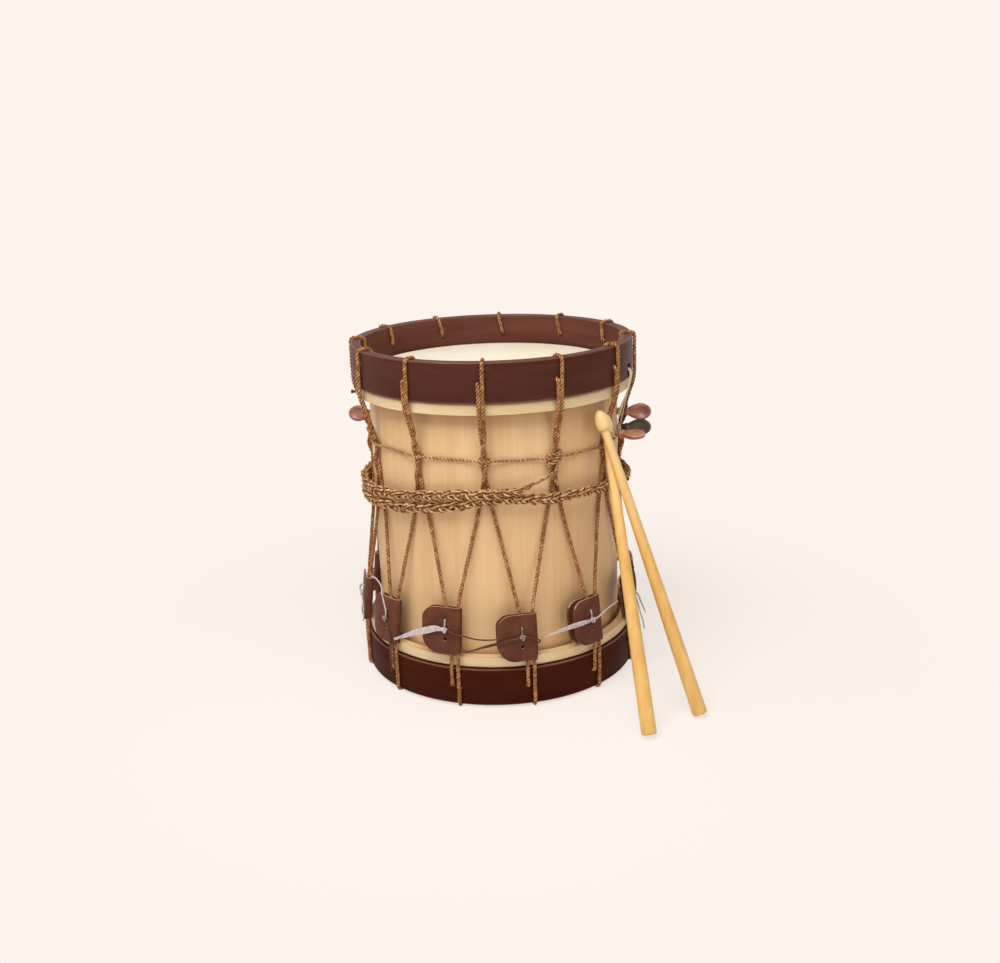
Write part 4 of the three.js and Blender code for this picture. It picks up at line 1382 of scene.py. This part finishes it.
def make_counterhoops():
    upper, lower = [], []
    dip = NOTCH_WIDTH / 2 - NOTCH_DEPTH
    for k in range(COURSES):
        head = HEAD_AZIMUTH + k * COURSE_STEP
        foot = FOOT_AZIMUTH + k * COURSE_STEP
        upper += hoop_cutters(head, RIM_HALF, HOLE_HIGH, RIM_HIGH + dip)
        lower += hoop_cutters(foot, FOOT_HALF, HOLE_LOW, RIM_LOW - dip)
    low = RIM_HIGH - HOOP_HEIGHT
    upper += [gate_cutter(azimuth, low + GATE_SILL) for azimuth in (SNARE_AZIMUTH, SNARE_AZIMUTH - 180)]
    make_counterhoop("upper_hoop", "upper_counterhoop", low, upper, UPPER_HOOP_FINISH)
    make_counterhoop("lower_hoop", "lower_counterhoop", RIM_LOW, lower, LOWER_HOOP_FINISH)


make_shell()
make_heads()
make_counterhoops()
for node in ("upper_flesh_hoop", "lower_flesh_hoop"):
    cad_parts[node].data.materials.clear()
    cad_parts[node].data.materials.append(SHELL_FINISH)


# Waist belt and girdle

# Azimuth, height and how far the belt stands out where one turn lies on the other
BELT_ROUTE = (
    (KNOT_AZIMUTH, 0.3034, 0), (KNOT_AZIMUTH - 1, 0.2945, 0), (19.7, 0.2875, 0.001), (13.4, 0.2812, 0.002),
    (8.8, 0.2768, 0.0028), (1.4, 0.2742, 0.0032), (-7.8, 0.2728, 0.0026), (-17.4, 0.2706, 0.0012),
    (-39.3, 0.2632, 0), (-52, 0.2588, 0), (-73, 0.2545, 0), (-110, 0.2525, 0), (-180, 0.250, 0),
    (-250, 0.247, 0), (-275, 0.248, 0), (-307, 0.2585, 0), (-326, 0.261, 0), (-340, 0.2616, 0),
    (-353, 0.2655, -0.0008), (-359, 0.266, -0.0012), (-368, 0.2634, -0.0012), (-375, 0.2585, -0.0006),
    (-391, 0.2508, 0), (-408, 0.2452, 0), (-428, 0.241, 0), (-470, 0.239, 0), (-492, 0.2395, 0),
    (-500, 0.2425, -0.003),
)


def belt_swell(share):
    """Thin at the knot, grown to the full plait, and drawn in where the far end is tucked."""
    grown = min(1, max(0, (share - BELT_SWELL[0]) / (BELT_SWELL[1] - BELT_SWELL[0])))
    drawn_in = max(0, share - BELT_TUCK) / (1 - BELT_TUCK)
    return BELT_TAIL_SHARE + (1 - BELT_TAIL_SHARE) * (1 - (1 - grown) ** 3) * (1 - drawn_in ** 2)


def plaited(points, draw):
    """Lines of the belt's strands, which cross over and under each other, none of them quite even."""
    frames = frames_along(points, UP)
    last = len(points) - 1
    step = length_of(points) / last
    lines = []
    for m in range(BELT_STRANDS):
        waves = [(draw.uniform(*BELT_WAVES), draw.uniform(0, 2 * math.pi)) for _ in range(3)]
        line = []
        for i, (p, (u, v)) in enumerate(zip(points, frames)):
            along = i * step
            up, out, drift = (math.sin(2 * math.pi * along * rate + start) for rate, start in waves)
            a = 2 * math.pi * (m / BELT_STRANDS + along / BELT_PITCH) + BELT_DRIFT * drift
            rise = math.sin(a) * BELT_RISE + BELT_WANDER * up
            stand = math.sin(2 * a) * BELT_DEPTH + BELT_WANDER * out
            line.append(p + (u * rise + v * stand) * belt_swell(i / last))
        lines.append(line)
    return lines


def make_belt():
    corners = [Vector((azimuth / 360, height, out)) for azimuth, height, out in BELT_ROUTE]
    turns = soft_route(corners, BELT_POINTS)
    route = spaced([place(p.x * 360, BELT_RADIUS + p.z, 0, p.y) for p in turns], BELT_STEP)
    draw = random.Random(BELT_SEED)
    yarns, axes = [], []
    for strand in plaited(route, draw):
        yarns += laid(strand, BELT_YARNS, BELT_STRAND * BELT_YARN_OFFSET, BELT_YARN_LAY, UP, belt_swell)
        axes += strand * BELT_YARNS
    last = len(route) - 1
    reaches = [BELT_STRAND / 2 * belt_swell(i / last) for i in range(last + 1)] * len(yarns)
    piece = tube("plaited_belt", yarns, BELT_STRAND * BELT_YARN_WIDTH, 1, belt_swell, axes, reaches)
    piece = frayed(piece, route[len(route) // BELT_SMOOTH_PART:], BELT_REACH, BELT_HAIRS, draw)
    return finished(piece, BELT_FINISH, "drum", "waist_belt")


def girdle_level(azimuth):
    return GIRDLE_Z - GIRDLE_TILT * math.cos(math.radians(azimuth - GIRDLE_LOW_AZIMUTH))


def make_girdle():
    over_pair = ROPE_WAIST + ROPE_SIT + ROPE_CLEAR + GIRDLE / 2
    on_shell = SHELL_RADIUS + ROPE_CLEAR + GIRDLE / 2
    corners = [place(KNOT_AZIMUTH, over_pair, 0, girdle_level(KNOT_AZIMUTH))]
    for k in range(1, COURSES + 1):
        pair = KNOT_AZIMUTH + k * COURSE_STEP
        for share in GIRDLE_SLACK:
            between = pair - COURSE_STEP * (1 - share)
            corners.append(place(between, on_shell, 0, girdle_level(between)))
        for reach in (-GIRDLE_PAIR_REACH, GIRDLE_PAIR_REACH):
            corners.append(place(pair + reach, over_pair, 0, girdle_level(pair)))
    route = spaced(eased(corners, GIRDLE_BEND), GIRDLE_STEP)
    cord = laid_cord("girdle", [route], GIRDLE_STRANDS, GIRDLE, GIRDLE_LAY)
    return finished(cord, GIRDLE_FINISH, "drum", "girdle_cord")


def make_hitches():
    """Two turns round each pair of strands that hold the girdle to it."""
    wide, deep = PAIR_HALF + HITCH_ROOM[0], ROPE_SIT + HITCH_ROOM[1]
    hitches = []
    for k in range(COURSES):
        pair = KNOT_AZIMUTH + k * COURSE_STEP
        for side in (-1, 1):
            level = girdle_level(pair) + side * HITCH_RISE
            ring = [place(pair, ROPE_WAIST + deep * math.sin(a), wide * math.cos(a),
                          level + HITCH_SLANT * math.cos(a + side * HITCH_PHASE))
                    for a in full_turn(HITCH_STEPS)]
            hitches.append(spaced(ring, GIRDLE_STEP))
    wraps = laid_cord("girdle_hitches", hitches, GIRDLE_STRANDS, HITCH_CORD, GIRDLE_LAY)
    return finished(wraps, GIRDLE_FINISH, "drum")


def knot_point(across, up, out):
    return place(KNOT_AZIMUTH, ROPE_WAIST + out, across, girdle_level(KNOT_AZIMUTH) + up)


def make_knot():
    """Two turns and a slanting one drawn tight round a pair, with the girdle's end hanging below."""
    cords = []
    for rise in (-KNOT_RISE, KNOT_RISE):
        ring = [knot_point(KNOT_WIDE * math.cos(a), rise + KNOT_LEAN * KNOT_WIDE * math.cos(a),
                           max(KNOT_DEEP * math.sin(a), KNOT_BACK))
                for a in full_turn(KNOT_STEPS)]
        cords.append(spaced(ring, GIRDLE_STEP))
    for turn in (KNOT_SLANT, KNOT_END):
        route = soft_route([knot_point(*point) for point in turn], KNOT_POINTS)
        cords.append(spaced(route, GIRDLE_STEP))
    slant = cords[2]
    knot = laid_cord("girdle_knot_turns", cords, GIRDLE_STRANDS, KNOT_CORD, GIRDLE_LAY)
    knot = frayed(knot, slant, KNOT_CORD / 2, KNOT_HAIRS, random.Random(KNOT_SEED))
    return finished(knot, GIRDLE_FINISH, "drum", "girdle_knot")


make_belt()
make_girdle()
make_hitches()
make_knot()


# Snare: strings, pegs and nail

def thumb_piece(wide, long, thick):
    """A blunt oval, dished on both faces and drawn narrow towards its shaft."""
    deselect_all()
    bpy.ops.mesh.primitive_uv_sphere_add(segments=40, ring_count=24, radius=1)
    piece = bpy.context.object
    piece.data.transform(Matrix.Diagonal((wide, thick, long, 1)))
    for vertex in piece.data.vertices:
        x, y, z = vertex.co
        spot = (x / (DISH_WIDE * wide)) ** 2 + ((z - DISH_HIGH) / (DISH_WIDE * long)) ** 2
        dish = DISH * math.exp(-spot ** DISH_EDGE)
        blunt = math.sqrt(max(0, 1 - math.hypot(x / wide, z / long) ** PADDLE_BLUNT))
        toward_shaft = max(0, -z / long)
        vertex.co = (x * (1 - PADDLE_TAPER * toward_shaft), math.copysign(thick * blunt * (1 - dish), y),
                     z * (1 + PADDLE_DRAW * toward_shaft))
    # The rim of the thumb piece takes the second finish, a painted shade
    for face in piece.data.polygons:
        face.material_index = 1 if abs(face.normal.y) < PADDLE_RIM else 0
    return piece


def make_peg():
    """Tapered shaft, collar and thumb piece, along local +Z."""
    wide, long, thick = PADDLE
    neck = PEG_LENGTH - 2 * long - PEG_NECK_GAP
    half = PEG_SHAFT / 2
    collar = [(half * share, neck + up) for share, up in PEG_COLLAR]
    shaft = turned("peg_shaft", [(0, 0), (PEG_FOOT * half, 0), *collar], PEG_STEPS)
    paddle = thumb_piece(wide, long, thick)
    paddle.data.transform(Matrix.Translation((0, 0, PEG_LENGTH - long)))
    for piece in (shaft, paddle):
        piece.data.materials.append(PEG_FINISH)
        piece.data.materials.append(PEG_RIM_SHADE_FINISH)
    return joined("peg", [smooth(shaft), smooth(paddle, 60)])


def peg_frame(azimuth, height, turn):
    lie = Matrix((UP, outward(azimuth).cross(UP), outward(azimuth))).transposed().to_4x4()
    foot = Matrix.Translation(place(azimuth, PEG_TIP - PEG_LENGTH, 0, height))
    return foot @ lie @ Matrix.Rotation(math.radians(turn), 4, "Z")


def winding(name, body, azimuth, height, diameter, radius, turns):
    """Gut wound round a shaft, side by side."""
    reach = (diameter + GUT) / 2
    line = []
    for i in range(WINDING_POINTS * turns + 1):
        share = i / WINDING_POINTS
        a = 2 * math.pi * share
        line.append(place(azimuth, radius - WINDING_PITCH * share, reach * math.sin(a),
                          height + reach * math.cos(a)))
    return finished(tube(name, [line], GUT), GUT_FINISH, body)


def make_pegs():
    peg = make_peg()
    # The second right peg takes the darker copies of the rosewood as painted shade
    finishes = {
        "snare_peg_right_2": (PEG_PAINTED_SHADE_FINISH, PEG_RIM_DEEPER_SHADE_FINISH),
        # The tan peg's rim takes the plain rosewood, darker than its tan, as painted shade
        "snare_peg_right_3": (TAN_PEG_FINISH, PEG_FINISH),
    }
    for name, (azimuth, height, turn) in PEGS.items():
        piece = copy_of(peg, name.replace("snare", "turned"), peg_frame(azimuth, height, turn))
        for i, finish in enumerate(finishes.get(name, (PEG_FINISH, PEG_RIM_SHADE_FINISH))):
            piece.data.materials[i] = finish
        body = f"{name}_turner"
        finished(piece, None, body, name)
        radius = LEFT_WRAP if name == "snare_peg_left" else RIGHT_WRAP
        winding(name.replace("snare_peg", "gut_turns"), body, azimuth, height, PEG_WAIST, radius + GUT,
                PEG_TURNS)
    bpy.data.objects.remove(peg)


def make_nail():
    azimuth, height, diameter = NAIL
    span = NAIL_SPAN[1] - NAIL_SPAN[0]
    half = diameter / 2
    head = [(half * share, span + up) for share, up in NAIL_HEAD]
    pin = turned("iron_nail", [(0, 0), (half, 0), *head], NAIL_STEPS)
    pin.data.transform(radial_frame(azimuth, NAIL_SPAN[0], 0, height))
    finished(smooth(pin), IRON_FINISH, "drum", "hitch_nail")
    for i, radius in enumerate(NAIL_HITCHES):
        winding(f"nail_turns_{i + 1}", "drum", azimuth, height, diameter, radius + GUT, NAIL_TURNS)


def gut_end(azimuth, height, diameter, radius):
    return place(azimuth, radius, 0, height + diameter / 2 + GUT / 2 + ROPE_CLEAR)


def make_strings():
    right, left = SNARE_AZIMUTH, SNARE_AZIMUTH - 180
    brow = HOOP_RADIUS + ROPE_CLEAR + GUT
    shin = LAP_RADIUS + 2 * ROPE_CLEAR + GUT
    sill = RIM_HIGH - HOOP_HEIGHT
    starts = [gut_end(*PEGS["snare_peg_left"][:2], PEG_SHAFT, LEFT_WRAP)]
    starts += [gut_end(*NAIL, radius) for radius in NAIL_HITCHES]
    pegs = ("snare_peg_right_1", "snare_peg_right_2", "snare_peg_right_3")
    for m, peg in enumerate(pegs):
        shift = (m - 1) * GUT_SPACING
        corners = [
            starts[m],
            place(left, shin, shift, LAP_LOW),
            place(left, brow, shift, sill),
            place(left, brow, shift, GUT_Z - GUT),
            place(left, brow - GUT, shift, GUT_Z),
            place(right, brow - GUT, -shift, GUT_Z),
            place(right, brow, -shift, GUT_Z - GUT),
            place(right, brow, -shift, sill),
            place(right, shin, -shift, LAP_LOW),
            gut_end(*PEGS[peg][:2], PEG_SHAFT, RIGHT_WRAP),
        ]
        line = spaced(eased(corners, GUT_BEND), GUT_STEP)
        piece = tube(f"gut_string_{m + 1}", [line], GUT)
        finished(piece, GUT_FINISH, "drum", f"snare_string_{m + 1}")


make_pegs()
make_nail()
make_strings()


# Sticks

def stick_profile():
    """A rounded butt, a long taper to the neck and an acorn bead."""
    neck_z = STICK_LENGTH - BEAD_LENGTH
    butt, neck, bead = STICK_BUTT / 2, STICK_NECK / 2, BEAD / 2
    foot = [(0, 0)] + [(butt - inward, height) for inward, height in BUTT_ROUND]
    taper = [(butt - STICK_BELLY, STICK_BELLY_SHARE * STICK_LENGTH), (neck + NECK_FLARE, neck_z - NECK_RUN),
             (neck, neck_z)]
    acorn = [(bead * wide, neck_z + BEAD_LENGTH * high) for wide, high in BEAD_OUTLINE]
    return foot + taper + acorn


def stick_frame(butt, bead):
    head = Vector(bead)
    foot = Vector((*butt, 0))
    lean = (head - foot).normalized()
    foot = head - lean * (STICK_LENGTH - BEAD_LENGTH / 2)
    foot.z = STICK_BUTT / 2 * math.sqrt(1 - lean.z * lean.z) + FLOOR_CLEAR
    turn = UP.rotation_difference((head - foot).normalized())
    return Matrix.Translation(foot) @ turn.to_matrix().to_4x4()


stick = smooth(turned("stick", stick_profile(), STICK_STEPS))
for name, (butt, bead) in STICKS.items():
    piece = copy_of(stick, name.replace("drum", "turned"), stick_frame(butt, bead))
    finished(piece, STICK_FINISH, "sticks", name)
bpy.data.objects.remove(stick)


# Stage: pale floor, pale surround and soft light

PALE = paint(252, 243, 236)
WHITE = (1, 1, 1, 1)
SOFT_LIGHT = 0.27
FLOOR_SIZE = 24
FLOOR_FADE = (0.25, 0.7)
FLOOR_GLOW = 0.72


def seen_share(material):
    """1 for what the camera, a mirror or a glass shows, 0 for the light that falls on the object."""
    rays = add_node(material, "ShaderNodeLightPath")
    seen = number(material, "MAXIMUM", rays.outputs["Is Camera Ray"], rays.outputs["Is Glossy Ray"])
    return number(material, "MAXIMUM", seen, rays.outputs["Is Transmission Ray"])


def make_floor():
    deselect_all()
    bpy.ops.mesh.primitive_plane_add(size=FLOOR_SIZE, location=(0, 0, -FLOOR_CLEAR))
    floor = bpy.context.object
    floor.name = "pale_floor"
    material = bpy.data.materials.new("pale_floor")
    material.use_nodes = True
    nodes, links = material.node_tree.nodes, material.node_tree.links
    nodes.remove(nodes["Principled BSDF"])
    glow = add_node(material, "ShaderNodeEmission", {"Color": PALE, "Strength": 1.0})
    matt = add_node(material, "ShaderNodeBsdfDiffuse", {"Color": PALE})
    x, y, _ = parts_of(material, object_place(material))
    fading = spread(material, off_axis(material, x, y), FLOOR_GLOW, 1, *FLOOR_FADE, eased_by="SMOOTHSTEP")
    share = number(material, "MULTIPLY", seen_share(material), fading)
    mixed = add_node(material, "ShaderNodeMixShader", {0: share, 1: matt.outputs[0], 2: glow.outputs[0]})
    links.new(mixed.outputs[0], nodes["Material Output"].inputs["Surface"])
    floor.data.materials.append(material)


def make_surround():
    world = bpy.data.worlds.new("pale_surround")
    bpy.context.scene.world = world
    world.use_nodes = True
    nodes, links = world.node_tree.nodes, world.node_tree.links
    nodes.clear()
    out = nodes.new("ShaderNodeOutputWorld")
    pale = add_node(world, "ShaderNodeBackground", {"Color": PALE, "Strength": 1.0})
    soft = add_node(world, "ShaderNodeBackground", {"Color": WHITE, "Strength": SOFT_LIGHT})
    sockets = {0: seen_share(world), 1: soft.outputs[0], 2: pale.outputs[0]}
    mixed = add_node(world, "ShaderNodeMixShader", sockets)
    links.new(mixed.outputs[0], out.inputs["Surface"])


def soft_lamp(name, at, size, power):
    lamp = bpy.data.lights.new(name, "AREA")
    lamp.shape = "RECTANGLE"
    lamp.size, lamp.size_y = size
    lamp.energy = power
    holder = bpy.data.objects.new(name, lamp)
    bpy.context.collection.objects.link(holder)
    aim = (Vector((0, 0, MIDDLE_Z)) - Vector(at)).to_track_quat("-Z", "Y")
    holder.matrix_world = Matrix.Translation(at) @ aim.to_matrix().to_4x4()


make_floor()
make_surround()
soft_lamp("front_softbox", at=(-0.41, -1.13, 2.3), size=(1.6, 1.6), power=56)
soft_lamp("left_softbox", at=(-2.2, -1.0, 1.0), size=(0.8, 1.8), power=5)
soft_lamp("right_softbox", at=(1.5, -1.7, 0.6), size=(0.8, 1.6), power=5)
bpy.context.scene.view_settings.view_transform = "Standard"
